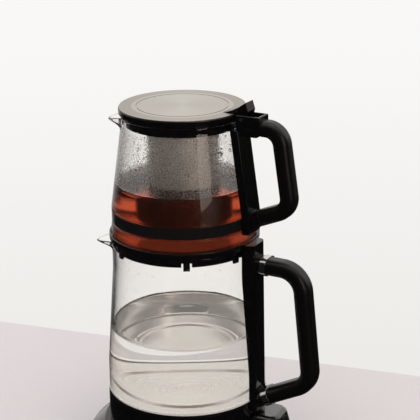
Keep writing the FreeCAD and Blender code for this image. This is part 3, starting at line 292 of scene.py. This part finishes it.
def makeWovenSteel():
    # 304 stainless steel wire, plain woven and welded into a basket: a grey veil that shows what is behind
    # it; the real wires are 0.4 mm apart, drawn 1.5 mm apart so that they show
    material, tree = startMaterial("wovenSteelMesh")
    place = addNode(tree, "ShaderNodeTexCoord")
    apart = addNode(tree, "ShaderNodeSeparateXYZ", {}, {"Vector": (place, "Object")})
    turn = addNode(tree, "ShaderNodeMath", {"operation": "ARCTAN2"}, {0: (apart, "Y"), 1: (apart, "X")})
    pitch = meshLook["pitchMm"] / 1000
    turns = round(2 * math.pi * meshLook["radiusMm"] / meshLook["pitchMm"])
    waves = []
    for source, output, scale in ((turn, "Value", turns / 2), (apart, "Z", math.pi / pitch)):
        angle = addNode(tree, "ShaderNodeMath", {"operation": "MULTIPLY", 1: scale}, {0: (source, output)})
        wave = addNode(tree, "ShaderNodeMath", {"operation": "SINE"}, {0: (angle, "Value")})
        waves.append(addNode(tree, "ShaderNodeMath", {"operation": "ABSOLUTE"}, {0: (wave, "Value")}))
    # a wire lies where either wave is small, and each wire's height follows the other's wave
    nearer = addNode(tree, "ShaderNodeMath", {"operation": "MINIMUM"},
                     {0: (waves[0], "Value"), 1: (waves[1], "Value")})
    limit = math.sin(math.pi / 2 * meshLook["wireShare"])
    hole = addNode(tree, "ShaderNodeMath", {"operation": "GREATER_THAN", 1: limit}, {0: (nearer, "Value")})
    # only the wall is mesh: its foot and its welded rim are plain sheet
    low, high = (level / 1000 for level in meshLook["wallMm"])
    above = addNode(tree, "ShaderNodeMath", {"operation": "GREATER_THAN", 1: low}, {0: (apart, "Z")})
    below = addNode(tree, "ShaderNodeMath", {"operation": "LESS_THAN", 1: high}, {0: (apart, "Z")})
    wall = addNode(tree, "ShaderNodeMath", {"operation": "MULTIPLY"},
                   {0: (above, "Value"), 1: (below, "Value")})
    gaps = addNode(tree, "ShaderNodeMath", {"operation": "MULTIPLY"},
                   {0: (hole, "Value"), 1: (wall, "Value")})
    wires = addNode(tree, "ShaderNodeMath", {"operation": "SUBTRACT", 0: 1.0}, {1: (gaps, "Value")})
    bump = addNode(tree, "ShaderNodeBump", {"Strength": 0.6, "Distance": meshLook["bumpMm"] / 1000},
                   {"Height": (nearer, "Value")})
    noise = addNode(tree, "ShaderNodeTexNoise", {"Scale": meshLook["spotsPerMetre"]},
                    {"Vector": (place, "Object")})
    # painted shade: the weave that hangs in the tea is drawn darker, and its foot keeps its own colour
    tea, blur = meshLook["teaMm"] / 1000, meshLook["blurMm"] / 1000
    soaked = addNode(tree, "ShaderNodeMapRange", {"From Min": tea + blur, "From Max": tea - blur},
                     {"Value": (apart, "Z")})
    paintedShadeMask = addNode(tree, "ShaderNodeMath", {"operation": "MULTIPLY"},
                    {0: (soaked, "Result"), 1: (above, "Value")})
    shadedWeave, clean = (colourFrom(tree, noise, *meshLook[k]) for k in ("shadedInTea", "clean"))
    shade = addNode(tree, "ShaderNodeMix", {"data_type": "RGBA"},
                    {0: (paintedShadeMask, "Value"), 6: (clean, "Color"), 7: (shadedWeave, "Color")})
    shader = addNode(tree, "ShaderNodeBsdfPrincipled", {"Metallic": meshLook["metallic"]},
                     {"Base Color": (shade, 2),
                      "Roughness": (roughnessFrom(tree, noise, *meshLook["roughness"]), "Result"),
                      "Alpha": (wires, "Value"), "Normal": (bump, "Normal")})
    endMaterial(tree, shader)
    return material


glassLook = {
    # painted shade at the glass's edges: at which share of a glancing look the wall's colour starts and
    # ends its darkening, and to what
    "tint": "#fdfcfb", "ior": 1.474, "wavePitchMm": 38, "waveHeightMm": 0.05,
    "paintedEdgeShade": {"from": 0.7, "to": 0.98, "shade": "#37332e"}}
mistLook = {
    # beadShare is a bead's radius in pitches, and its edge fades over edgeShare to either side
    "pitchMm": 1.2, "heightMm": 0.2, "strength": 0.35, "merging": 0.25, "beadShare": 0.48, "edgeShare": 0.12,
    "beadRoughness": 0.45, "clearRoughness": 0.02}
liquidLook = {
    # the tea takes light away by teaDensity for each metre of path, and more of it the further a colour is
    # from teaShade
    "waveMm": 30, "waveHeightMm": 0.05, "dropWaveMm": 2, "dropWaveHeightMm": 0.01, "waterIor": 1.333,
    "teaIor": 1.335, "teaShade": "#ea8226", "teaDensity": 24.0, "dustRoughness": 0.17}


def blownWaves(tree):
    # the slow waviness of machine-blown glass
    return grainBump(tree, glassLook["wavePitchMm"], glassLook["waveHeightMm"], detail=0.0)[0]


def stillRipples(tree):
    # a liquid's surface at rest
    return grainBump(tree, liquidLook["waveMm"], liquidLook["waveHeightMm"], detail=0.0)[0]


def dropRipples(tree):
    # a drop is never quite round
    return grainBump(tree, liquidLook["dropWaveMm"], liquidLook["dropWaveHeightMm"], detail=0.0)[0]


def mistCells(tree):
    # distance from the middle of the nearest bead, in pitches
    place = addNode(tree, "ShaderNodeTexCoord")
    return addNode(tree, "ShaderNodeTexVoronoi",
                   {"feature": "SMOOTH_F1", "Scale": 1000 / mistLook["pitchMm"],
                    "Smoothness": mistLook["merging"]},
                   {"Vector": (place, "Object")})


def mistedBump(tree):
    # fine condensation: beads of about 1 mm packed side by side
    bead = addNode(tree, "ShaderNodeMath", {"operation": "SUBTRACT", 0: 1.0},
                   {1: (mistCells(tree), "Distance")})
    return addNode(tree, "ShaderNodeBump",
                   {"Strength": mistLook["strength"], "Distance": mistLook["heightMm"] / 1000},
                   {"Height": (bead, "Value")})


def mistedRoughness(tree):
    # each bead bends light widely, and the glass between them stays clear
    share, edge = mistLook["beadShare"], mistLook["edgeShare"]
    return addNode(tree, "ShaderNodeMapRange",
                   {"From Min": share - edge, "From Max": share + edge, "To Min": mistLook["beadRoughness"],
                    "To Max": mistLook["clearRoughness"]}, {"Value": (mistCells(tree), "Distance")})


# borosilicate glass, machine blown: clear, with slow waves that bend reflections a little, and painted
# shade towards its edges
blownGlass = clearMaterial("blownBorosilicateGlass", glassLook["tint"], glassLook["ior"], blownWaves,
                           paintedEdgeShade=glassLook["paintedEdgeShade"])
# the same glass where steam has settled on its inner face
mistedGlass = clearMaterial("mistedBorosilicateGlass", glassLook["tint"], glassLook["ior"], mistedBump,
                            paintedEdgeShade=glassLook["paintedEdgeShade"], veil=mistedRoughness)
# and where a lip was drawn out of the rim while hot: thinner, and drawn without the painted edge shade
drawnGlass = clearMaterial("drawnBorosilicateGlass", glassLook["tint"], glassLook["ior"], blownWaves)
# water: clear, with a calm surface that ripples a little
stillWater = clearMaterial("stillWater", "#fcfdfd", liquidLook["waterIor"], stillRipples)
# black tea: absorbs blue and green first, so thin layers look orange and thick ones brown to black
blackTea = clearMaterial("brewedBlackTea", "#fffaf6", liquidLook["teaIor"], stillRipples,
                         absorb=liquidLook["teaShade"], density=liquidLook["teaDensity"])
# the same tea where it lies against the wall: fine leaf dust blurs what is behind
cloudyTea = clearMaterial("cloudyBlackTea", "#ffdac0", liquidLook["teaIor"], stillRipples,
                          liquidLook["dustRoughness"], liquidLook["teaShade"], liquidLook["teaDensity"])
# drops of condensed water on glass
waterDrop = clearMaterial("condensedWater", "#fdfefe", liquidLook["waterIor"], dropRipples)

print("materials made")


def roundedPath(corners, steps=10):
    # (radius, height, rounding) corners in mm, as points along straight runs and arcs
    points = []
    for i, corner in enumerate(corners):
        here = Vector(corner[:2])
        rounding = corner[2] if len(corner) > 2 else 0
        if not rounding:
            points.append(here)
            continue
        back = (Vector(corners[i - 1][:2]) - here).normalized()
        ahead = (Vector(corners[(i + 1) % len(corners)][:2]) - here).normalized()
        half = math.acos(max(-1, min(1, back.dot(ahead)))) / 2
        centre = here + (back + ahead).normalized() * (rounding / math.sin(half))
        first = here + back * (rounding / math.tan(half))
        last = here + ahead * (rounding / math.tan(half))
        start, end = first - centre, last - centre
        sweep = math.atan2(start.x * end.y - start.y * end.x, start.dot(end))
        for k in range(steps + 1):
            turn = sweep * k / steps
            points.append(centre + Vector((start.x * math.cos(turn) - start.y * math.sin(turn),
                                           start.x * math.sin(turn) + start.y * math.cos(turn))))
    return points


def dividePath(points, longest):
    # the same path with no run longer than the given length
    fine = [points[0]]
    for a, b in zip(points, points[1:]):
        count = max(1, math.ceil((b - a).length / longest))
        fine += [a.lerp(b, (k + 1) / count) for k in range(count)]
    return fine


def radiusAt(points, height):
    # the path's radius where it passes a height
    for a, b in zip(points, points[1:]):
        if min(a.y, b.y) <= height <= max(a.y, b.y) and a.y != b.y:
            return a.x + (b.x - a.x) * (height - a.y) / (b.y - a.y)
    return points[-1].x


onAxis = 1e-6    # millimetres from the axis that count as none


def latheMesh(name, points, segments, closed, push=None, second=None):
    # turns (radius, height) points in mm round the axis; push moves a point at a bearing, and second says
    # which runs of the path, by number and first point, get the second material
    mesh = bpy.data.meshes.new(name)
    build = bmesh.new()
    rings = []
    for point in points:
        if point.x < onAxis:
            rings.append([build.verts.new((0, 0, point.y / 1000))])
            continue
        ring = []
        for k in range(segments):
            turn = 2 * math.pi * k / segments
            radius, height = push(point.x, point.y, turn) if push else (point.x, point.y)
            ring.append(build.verts.new((radius * math.cos(turn) / 1000, radius * math.sin(turn) / 1000,
                                         height / 1000)))
        rings.append(ring)
    pairs = list(zip(rings, rings[1:])) + ([(rings[-1], rings[0])] if closed else [])
    for i, (low, high) in enumerate(pairs):
        for k in range(segments):
            corners = [low[k % len(low)], low[(k + 1) % len(low)],
                       high[(k + 1) % len(high)], high[k % len(high)]]
            face = build.faces.new(list(dict.fromkeys(corners)))
            face.smooth = True
            if second and second(i, points[i]):
                face.material_index = 1
    bmesh.ops.recalc_face_normals(build, faces=build.faces)
    build.to_mesh(mesh)
    build.free()
    return mesh


lipShape = {
    # a lip is narrowest low down: its half width grows from footShare to footShare + growShare of the size's
    # own; crownPower sharpens its crest and risePower delays its rise
    "footShare": 0.7, "growShare": 0.8, "crownPower": 1.7, "risePower": 1.2, "clearBy": 0.5}


def pulledLip(size):
    # a pouring lip pulled outwards from the rim, as a function that moves a point at a bearing
    spread = size["lipHalf"] / size["neckRadius"]
    start = size["rimZ"] - size["lipDepth"]
    widest = lipShape["footShare"] + lipShape["growShare"]

    def push(radius, height, turn):
        off = (turn - math.radians(size["lipBearing"]) + math.pi) % (2 * math.pi) - math.pi
        rise = (height - start) / size["lipDepth"]
        if abs(off) >= spread * widest or rise <= 0:
            return radius, height
        rise = min(rise, 1.0)
        width = spread * (lipShape["footShare"] + lipShape["growShare"] * rise)
        across = 0.5 * (1 + math.cos(math.pi * min(1.0, abs(off) / width)))
        climb = rise * rise * (3 - 2 * rise)
        share = across ** lipShape["crownPower"] * climb ** lipShape["risePower"]
        out, down = size["lipReach"] - size["neckRadius"], size["lipDroop"]
        return radius + share * out, height - down * share * share
    return push


def dressLip(mesh, index, size):
    # gives the faces that stand out past the neck near the rim the material with this index
    for face in mesh.polygons:
        out = face.center.xy.length * 1000 - size["neckRadius"]
        if out > lipShape["clearBy"] and face.center.z * 1000 > size["rimZ"] - size["lipDepth"]:
            face.material_index = index


def rimBead(size):
    # the fire-polished rim, from the outer wall over to the inner one
    half = size["wall"] / 2
    middle, base = size["neckRadius"] - half, size["rimZ"] - size["beadRise"]
    turns = [math.pi * k / 8 for k in range(1, 8)]
    return [Vector((middle + half * math.cos(a), base + size["beadRise"] * math.sin(a))) for a in turns]


def liquidTop(edge, size):
    # a liquid's surface, which climbs the glass a little, from the wall in to the axis
    top = size["liquidZ"]
    climb = [Vector((edge - inward, top + rise)) for inward, rise in size["meniscus"]]
    return climb + [Vector((edge * 0.5, top)), Vector((0, top))]


kettleGlassSize = {
    # millimetres, and degrees for the bearing; heights end in Z and are above the table, longest is the
    # longest run of an outline, and the meniscus is (way in from the wall, rise)
    "footZ": 61.3, "footRound": 0.5, "innerFoot": 0.4, "radius": 70.0, "neckRadius": 63.4, "bellyZ": 85.0,
    "shoulderZ": 175.0, "rimZ": 201.0, "beadRise": 0.9, "wall": 2.3, "round": 120.0, "roundSteps": 18,
    "segments": 288, "longest": 1.6, "lipBearing": 215, "lipReach": 76.6, "lipHalf": 12.5, "lipDepth": 11,
    "lipDroop": 1, "liquidZ": 120.7, "plateZ": 61.0, "plateMiddle": 40, "liquidOverlap": 0.9,
    "liquidCorner": 0.5, "liquidSegments": 192, "liquidLongest": 2.0,
    "meniscus": ((0, 1.6), (1.1, 1.1), (2.0, 0.45), (3.4, 0.1), (5.5, 0))}


def kettleInner(grow=0.0):
    # corners of the inner wall, moved out by grow
    size = kettleGlassSize
    wide, narrow = size["radius"] - size["wall"] + grow, size["neckRadius"] - size["wall"] + grow
    return [(wide, size["footZ"] + size["innerFoot"]), (wide, size["bellyZ"], size["round"]),
            (narrow, size["shoulderZ"], size["round"]), (narrow, size["rimZ"] - size["beadRise"])]


def makeKettleGlass():
    size = kettleGlassSize
    foot = size["footRound"]
    outer = [(size["radius"] - foot, size["footZ"]), (size["radius"], size["footZ"] + foot),
             (size["radius"], size["bellyZ"], size["round"]),
             (size["neckRadius"], size["shoulderZ"], size["round"]),
             (size["neckRadius"], size["rimZ"] - size["beadRise"])]
    outside, inside = (dividePath(roundedPath(corners, size["roundSteps"]), size["longest"])
                       for corners in (outer, kettleInner()))
    mesh = latheMesh("kettleGlassBody", outside + rimBead(size) + inside[::-1], size["segments"], True,
                     pulledLip(size))
    dressLip(mesh, 1, size)
    meshObject("kettleGlassBody", mesh, [blownGlass, drawnGlass], "kettle", ["kettle_glass"])


def makeKettleWater():
    # the water reaches a little into the glass, so that the two share one boundary
    size = kettleGlassSize
    wall = dividePath(roundedPath(kettleInner(size["liquidOverlap"]), size["roundSteps"]),
                      size["liquidLongest"])
    top, plate = size["liquidZ"], size["plateZ"]
    path = [Vector((0, plate)), Vector((size["plateMiddle"], plate)), Vector((wall[0].x, plate))]
    path += [p for p in wall if plate + size["liquidCorner"] < p.y < top]
    path += liquidTop(radiusAt(wall, top), size)
    mesh = latheMesh("kettleWater", path, size["liquidSegments"], False)
    meshObject("kettleWater", mesh, [stillWater], "kettle")


teapotGlassSize = {
    # the same units; the groove round the waist takes the band, and the tea is clear in a skin at its top
    "baseZ": 203.7, "radius": 63.6, "heel": 5.0, "bellyZ": 211.0, "waistRadius": 62.9, "grooveLow": 216.3,
    "grooveHigh": 230.0, "grooveDeep": 1.3, "grooveSlope": 0.9, "grooveRound": 0.4, "neckRadius": 52.3,
    "neckZ": 305.0, "neckRound": 20, "rimZ": 310.0, "beadRise": 0.8, "wall": 2.2, "innerHeel": 2.8,
    "roundSteps": 8, "segments": 288, "longest": 1.5, "lipBearing": 215, "lipReach": 63.0, "lipHalf": 11,
    "lipDepth": 13, "lipDroop": 1.5, "liquidZ": 250.6, "liquidOverlap": 0.9, "liquidSegments": 192,
    "liquidLongest": 2.0, "meniscus": ((0, 1.4), (1.0, 1.0), (2.0, 0.4), (3.4, 0.1), (5.5, 0)),
    "skin": 0.5, "skinGap": 0.2, "mistAboveTea": 3, "mistBelowRim": 8}


def teapotInner(grow=0.0):
    # corners of the floor and the inner wall, moved out by grow
    size = teapotGlassSize
    foot = size["waistRadius"] - size["grooveDeep"] - size["wall"] + grow
    neck = size["neckRadius"] - size["wall"] + grow
    floor = size["baseZ"] + size["wall"] - grow
    return [(0, floor), (foot, floor, size["innerHeel"] + grow),
            (foot, size["grooveHigh"] - size["grooveSlope"]),
            (neck, size["neckZ"], size["neckRound"]), (neck, size["rimZ"] - size["beadRise"])]


def makeTeapotGlass():
    size = teapotGlassSize
    groove = size["waistRadius"] - size["grooveDeep"]
    slope, small = size["grooveSlope"], size["grooveRound"]
    outer = [(0, size["baseZ"]), (size["radius"], size["baseZ"], size["heel"]),
             (size["radius"], size["bellyZ"], small), (size["waistRadius"], size["grooveLow"], small),
             (groove, size["grooveLow"] + slope, small), (groove, size["grooveHigh"] - slope, small),
             (size["waistRadius"], size["grooveHigh"], small),
             (size["neckRadius"], size["neckZ"], size["neckRound"]),
             (size["neckRadius"], size["rimZ"] - size["beadRise"])]
    outside, inside = (dividePath(roundedPath(corners, size["roundSteps"]), size["longest"])
                       for corners in (outer, teapotInner()))
    bead = rimBead(size)
    lowest, highest = size["liquidZ"] + size["mistAboveTea"], size["rimZ"] - size["mistBelowRim"]
    firstInside = len(outside) + len(bead)
    mesh = latheMesh("teapotGlassBody", outside + bead + inside[::-1], size["segments"], False,
                     pulledLip(size), lambda i, point: i >= firstInside and lowest < point.y < highest)
    dressLip(mesh, 2, size)
    meshObject("teapotGlassBody", mesh, [blownGlass, mistedGlass, drawnGlass], "teapot",
               ["teapot_glass"])


def makeTea():
    # the tea reaches a little into the glass too, and is cloudy where it meets the wall
    size = teapotGlassSize
    wall = dividePath(roundedPath(teapotInner(size["liquidOverlap"]), size["roundSteps"]),
                      size["liquidLongest"])
    top = size["liquidZ"]
    path = [p for p in wall if p.y < top - size["skinGap"]]
    path += liquidTop(radiusAt(wall[2:], top), size)
    mesh = latheMesh("brewedTea", path, size["liquidSegments"], False,
                     second=lambda i, point: point.y < top - size["skin"])
    meshObject("brewedTea", mesh, [blackTea, cloudyTea], "teapot")


dropLook = {
    # millimetres and degrees: sizes and heights of the drops that chance places, then (bearing, height, size)
    # of the few that have run together
    "teapotDrops": {"seed": 7, "count": 900, "small": 0.3, "large": 0.95, "lowZ": 254.5, "highZ": 300.5,
                    "merged": ((-23.8, 286.0, 1.9), (-38.4, 283.9, 1.7), (-31.9, 290.5, 1.1),
                               (-12.5, 287.3, 1.5), (-30.0, 276.0, 1.2), (-70.0, 281.0, 1.3),
                               (-88.0, 268.0, 1.2))},
    "kettleDrops": {"seed": 11, "count": 260, "small": 0.2, "large": 0.55, "lowZ": 123.5, "highZ": 192.0,
                    "merged": ((-112.0, 128.0, 0.8), (-99.0, 126.0, 0.9), (150.0, 140.0, 0.8))}}
dropShape = {
    # rings of (share of the radius, lift as a share of the size), the tip's lift, how far the foot sits in
    # the glass in mm, how tall a drop is for its width and how much it sags; most drops are small
    "rings": ((1.0, 0.0), (0.88, 0.32), (0.55, 0.58)), "tip": 0.66, "sunkMm": 0.25, "tall": 1.15,
    "sag": 0.14, "corners": 8, "smallPower": 3.2}


def addDrop(build, wall, turn, height, size):
    # a bead flatter than half a ball and a little tall
    sunk, corners = dropShape["sunkMm"], dropShape["corners"]
    radius = radiusAt(wall, height)
    inward = Vector((-math.cos(turn), -math.sin(turn), -dropShape["sag"])).normalized()
    side = Vector((-math.sin(turn), math.cos(turn), 0))
    up = inward.cross(side).normalized()
    centre = Vector((radius * math.cos(turn), radius * math.sin(turn), height)) - inward * sunk
    turns = [2 * math.pi * k / corners for k in range(corners)]
    rings = []
    for share, lift in dropShape["rings"]:
        rise = sunk + size * lift if lift else 0
        rings.append([build.verts.new((centre + side * (size * share * math.cos(a))
                                       + up * (size * dropShape["tall"] * share * math.sin(a))
                                       + inward * rise) / 1000) for a in turns])
    tip = build.verts.new((centre + inward * (sunk + size * dropShape["tip"])) / 1000)
    for low, high in zip(rings, rings[1:]):
        for k in range(corners):
            after = (k + 1) % corners
            build.faces.new((low[k], low[after], high[after], high[k])).smooth = True
    for k in range(corners):
        build.faces.new((rings[-1][k], rings[-1][(k + 1) % corners], tip)).smooth = True
    build.faces.new(rings[0][::-1])


def makeDrops(name, wall, body):
    # condensed water on an inner wall above the liquid
    look = dropLook[name]
    chance = random.Random(look["seed"])
    mesh = bpy.data.meshes.new(name)
    build = bmesh.new()
    for _ in range(look["count"]):
        size = look["small"] + (look["large"] - look["small"]) * chance.random() ** dropShape["smallPower"]
        height = look["lowZ"] + (look["highZ"] - look["lowZ"]) * chance.random()
        addDrop(build, wall, chance.random() * 2 * math.pi, height, size)
    for bearing, height, size in look["merged"]:
        addDrop(build, wall, math.radians(bearing), height, size)
    bmesh.ops.recalc_face_normals(build, faces=build.faces)
    build.to_mesh(mesh)
    build.free()
    meshObject(name, mesh, [waterDrop], body)


makeKettleGlass()
makeKettleWater()
makeTeapotGlass()
makeTea()
makeDrops("teapotDrops", roundedPath(teapotInner(), teapotGlassSize["roundSteps"])[2:], "teapot")
makeDrops("kettleDrops", roundedPath(kettleInner(), kettleGlassSize["roundSteps"]), "kettle")
print("glass and liquids made")

dress(mouldedAbs, "base_shell", "kettle_skirt", "kettle_spine", "seat_ring", "teapot_spine", "lid_cap",
      "strainer_collar", "control_switch")
dress(lacqueredAbs, "control_pod")
dress(bandAbs, "teapot_band")
dress(satinPolypropylene, "kettle_handle", "teapot_handle", "control_button")
dress(pebbledAbs, "base_plate", "kettle_bottom_cover", "cord_gland", "base_connector", "kettle_coupler")
dress(mouldedPbt, "kettle_thermostat")
dress(mouldedRubber, "rubber_feet")
dress(mouldedSilicone, "glass_seal", "lid_gasket")
dress(laminatedBoard, "control_board")
dress(makeTrimSteel(), "glass_trim_ring")
dress(makeSpunSteel("spunFloorSteel", spunLook["floor"]), "heating_plate")
dress(makeSpunSteel("spunLidSteel", spunLook["lid"]), "lid_plate")
dress(makeWovenSteel(), "strainer_basket")
dress(chromePlated, "handle_ferrule_upper", "handle_ferrule_lower")
dress(zincSteel, "base_screws", "kettle_cover_screws", "kettle_handle_screw", "band_screw", "lid_hinge_pin")
dress(castAluminium, "heat_spreader", "heating_element")
dress(turnedBrass, "base_contact_pin")
print("finishes assigned")


tableLook = {
    # metres, but for the grain; the back edge runs from one point to the other, and the top lies just under
    # the feet
    "edgeStart": (-1.25, -0.0446), "edgeEnd": (1.35, 0.4623), "front": 1.6, "topZ": -0.0003, "lowZ": -0.03,
    "shades": ("#d9d5d8", "#ddd9dc"), "roughness": (0.42, 0.5), "ior": 1.5, "grainMm": 3.0,
    "grainHighMm": 0.01}


def makeTable():
    # melamine-faced board: pale grey, low gloss
    material, tree = startMaterial("melamineBoard")
    bump, noise = grainBump(tree, tableLook["grainMm"], tableLook["grainHighMm"])
    shader = addNode(tree, "ShaderNodeBsdfPrincipled", {"IOR": tableLook["ior"]},
                     {"Base Color": (colourFrom(tree, noise, *tableLook["shades"]), "Color"),
                      "Roughness": (roughnessFrom(tree, noise, *tableLook["roughness"]), "Result"),
                      "Normal": (bump, "Normal")})
    # a reflected ray goes through the table, so that gloss shows the dim room beyond it
    clear = addNode(tree, "ShaderNodeBsdfTransparent")
    path = addNode(tree, "ShaderNodeLightPath")
    bounced = addNode(tree, "ShaderNodeMath", {"operation": "GREATER_THAN", 1: 0.5},
                      {0: (path, "Glossy Depth")})
    both = addNode(tree, "ShaderNodeMixShader", {}, {0: (bounced, "Value"), 1: (shader, 0), 2: (clear, 0)})
    endMaterial(tree, both)
    start, end = Vector(tableLook["edgeStart"]), Vector(tableLook["edgeEnd"])
    along = (end - start).normalized()
    away = Vector((along.y, -along.x)) * tableLook["front"]
    outline = [start, end, end + away, start + away]
    build = bmesh.new()
    top = [build.verts.new((p.x, p.y, tableLook["topZ"])) for p in outline]
    low = [build.verts.new((p.x, p.y, tableLook["lowZ"])) for p in outline]
    build.faces.new(top)
    build.faces.new(low)
    for k in range(4):
        build.faces.new((top[k], top[(k + 1) % 4], low[(k + 1) % 4], low[k]))
    bmesh.ops.recalc_face_normals(build, faces=build.faces)
    mesh = bpy.data.meshes.new("tableTop")
    build.to_mesh(mesh)
    build.free()
    mesh.materials.append(material)
    table = bpy.data.objects.new("tableTop", mesh)
    bpy.context.scene.collection.objects.link(table)


backdropLook = {
    # the wall goes from low to high between two sines of the angle of view; the room is bright towards a
    # heading in degrees and upwards, between two values of the direction's dot product with them
    "high": "#f9f8f6", "low": "#ecebe8", "throughGlass": "#fdfbf8", "lowSine": -0.42, "highSine": -0.2,
    "fill": 0.5, "fillShade": "#fffaf5", "roomShade": "#fbf9f6", "roomDark": 0.012, "roomBright": 1.0,
    "wallHeading": 120, "wallUp": 1.2, "dimBelow": 0.3, "brightAbove": 0.8}


def makeBackdrop():
    # a pale wall that the eye, glass and metal see, and a plain fill for the rest of the light
    look = backdropLook
    world = bpy.data.worlds.new("paleStudio")
    bpy.context.scene.world = world
    world.use_nodes = True
    tree = world.node_tree
    tree.nodes.clear()
    place = addNode(tree, "ShaderNodeTexCoord")
    apart = addNode(tree, "ShaderNodeSeparateXYZ", {}, {"Vector": (place, "Generated")})
    rise = addNode(tree, "ShaderNodeMapRange", {"From Min": look["lowSine"], "From Max": look["highSine"]},
                   {"Value": (apart, "Z")})
    wall = addNode(tree, "ShaderNodeMix",
                   {"data_type": "RGBA", 6: linearColour(look["low"]), 7: linearColour(look["high"])},
                   {0: (rise, "Result")})
    # light from round the glass makes up for what its faces send back
    path = addNode(tree, "ShaderNodeLightPath")
    lifted = addNode(tree, "ShaderNodeMix", {"data_type": "RGBA", 7: linearColour(look["throughGlass"])},
                     {0: (path, "Is Transmission Ray"), 6: (wall, 2)})
    seen = addNode(tree, "ShaderNodeBackground", {"Strength": 1.0}, {"Color": (lifted, 2)})
    fill = addNode(tree, "ShaderNodeBackground",
                   {"Color": linearColour(look["fillShade"]), "Strength": look["fill"]})
    # glossy surfaces see a bright wall on one side of the room and a dim room on the other
    heading = math.radians(look["wallHeading"])
    towards = addNode(tree, "ShaderNodeVectorMath",
                      {"operation": "DOT_PRODUCT", 1: (math.cos(heading), math.sin(heading), look["wallUp"])},
                      {0: (place, "Generated")})
    facing = addNode(tree, "ShaderNodeMapRange",
                     {"From Min": look["dimBelow"], "From Max": look["brightAbove"],
                      "To Min": look["roomDark"], "To Max": look["roomBright"],
                      "interpolation_type": "SMOOTHSTEP"},
                     {"Value": (towards, "Value")})
    room = addNode(tree, "ShaderNodeBackground", {"Color": linearColour(look["roomShade"])},
                   {"Strength": (facing, "Result")})
    # a ray that has been reflected sees the room, also where it then leaves through glass
    direct = addNode(tree, "ShaderNodeMath", {"operation": "MAXIMUM"},
                     {0: (path, "Is Camera Ray"), 1: (path, "Is Transmission Ray")})
    straight = addNode(tree, "ShaderNodeMath", {"operation": "LESS_THAN", 1: 0.5},
                       {0: (path, "Glossy Depth")})
    toWall = addNode(tree, "ShaderNodeMath", {"operation": "MULTIPLY"},
                     {0: (direct, "Value"), 1: (straight, "Value")})
    inside = addNode(tree, "ShaderNodeMixShader", {},
                     {0: (path, "Is Glossy Ray"), 1: (fill, 0), 2: (room, 0)})
    whole = addNode(tree, "ShaderNodeMixShader", {}, {0: (toWall, "Value"), 1: (inside, 0), 2: (seen, 0)})
    addNode(tree, "ShaderNodeOutputWorld", {}, {"Surface": (whole, 0)})


lampSet = {
    # name: place in metres, target, width, height, watts, colour, whether gloss and glass show it
    "overheadSoftbox": ((0.15, -0.1, 1.6), (0, 0, 0.2), 1.5, 1.5, 14, "#fffaf6", False),
    "sideSoftbox": ((1.2, -0.55, 0.6), (0, 0, 0.25), 0.5, 0.9, 2.6, "#ffeee2", True),
    "wallSoftbox": ((-1.0, 0.9, 0.7), (0, 0, 0.2), 0.9, 1.2, 4, "#fdfcff", False),
    "edgeStrip": ((0.1, 0.05, 1.5), (0.05, 0, 0.2), 0.06, 0.3, 0.5, "#ffffff", True)}


def makeLamps():
    for name, (place, target, width, height, watts, shade, shown) in lampSet.items():
        lamp = bpy.data.lights.new(name, "AREA")
        lamp.shape = "RECTANGLE"
        lamp.size, lamp.size_y, lamp.energy = width, height, watts
        lamp.color = linearColour(shade)[:3]
        holder = bpy.data.objects.new(name, lamp)
        holder.location = place
        holder.visible_glossy = shown
        holder.visible_transmission = shown
        holder.rotation_euler = (Vector(target) - Vector(place)).to_track_quat("-Z", "Y").to_euler()
        bpy.context.scene.collection.objects.link(holder)


cameraFacts = {
    # metres and degrees; the lens and its sensor are in millimetres
    "place": (0.5665, -0.9429, 0.596), "heading": 119.836, "pitch": 18.727, "roll": -0.681, "lens": 114.72,
    "sensor": 36, "nearest": 0.05, "farthest": 20}


def makeCamera():
    heading, pitch, roll = (math.radians(cameraFacts[k]) for k in ("heading", "pitch", "roll"))
    forward = Vector((math.cos(pitch) * math.cos(heading), math.cos(pitch) * math.sin(heading),
                      -math.sin(pitch)))
    level = Vector((math.sin(heading), -math.cos(heading), 0))
    upright = level.cross(forward)
    right = level * math.cos(roll) + upright * math.sin(roll)
    up = upright * math.cos(roll) - level * math.sin(roll)
    lens = bpy.data.cameras.new("productCamera")
    lens.lens, lens.sensor_width = cameraFacts["lens"], cameraFacts["sensor"]
    lens.clip_start, lens.clip_end = cameraFacts["nearest"], cameraFacts["farthest"]
    camera = bpy.data.objects.new("productCamera", lens)
    turn = Matrix((right, up, -forward)).transposed().to_4x4()
    camera.matrix_world = Matrix.Translation(cameraFacts["place"]) @ turn
    bpy.context.scene.collection.objects.link(camera)
    bpy.context.scene.camera = camera


makeTable()
makeBackdrop()
makeLamps()
makeCamera()
bpy.context.scene.view_settings.view_transform = "Standard"
print("studio made")
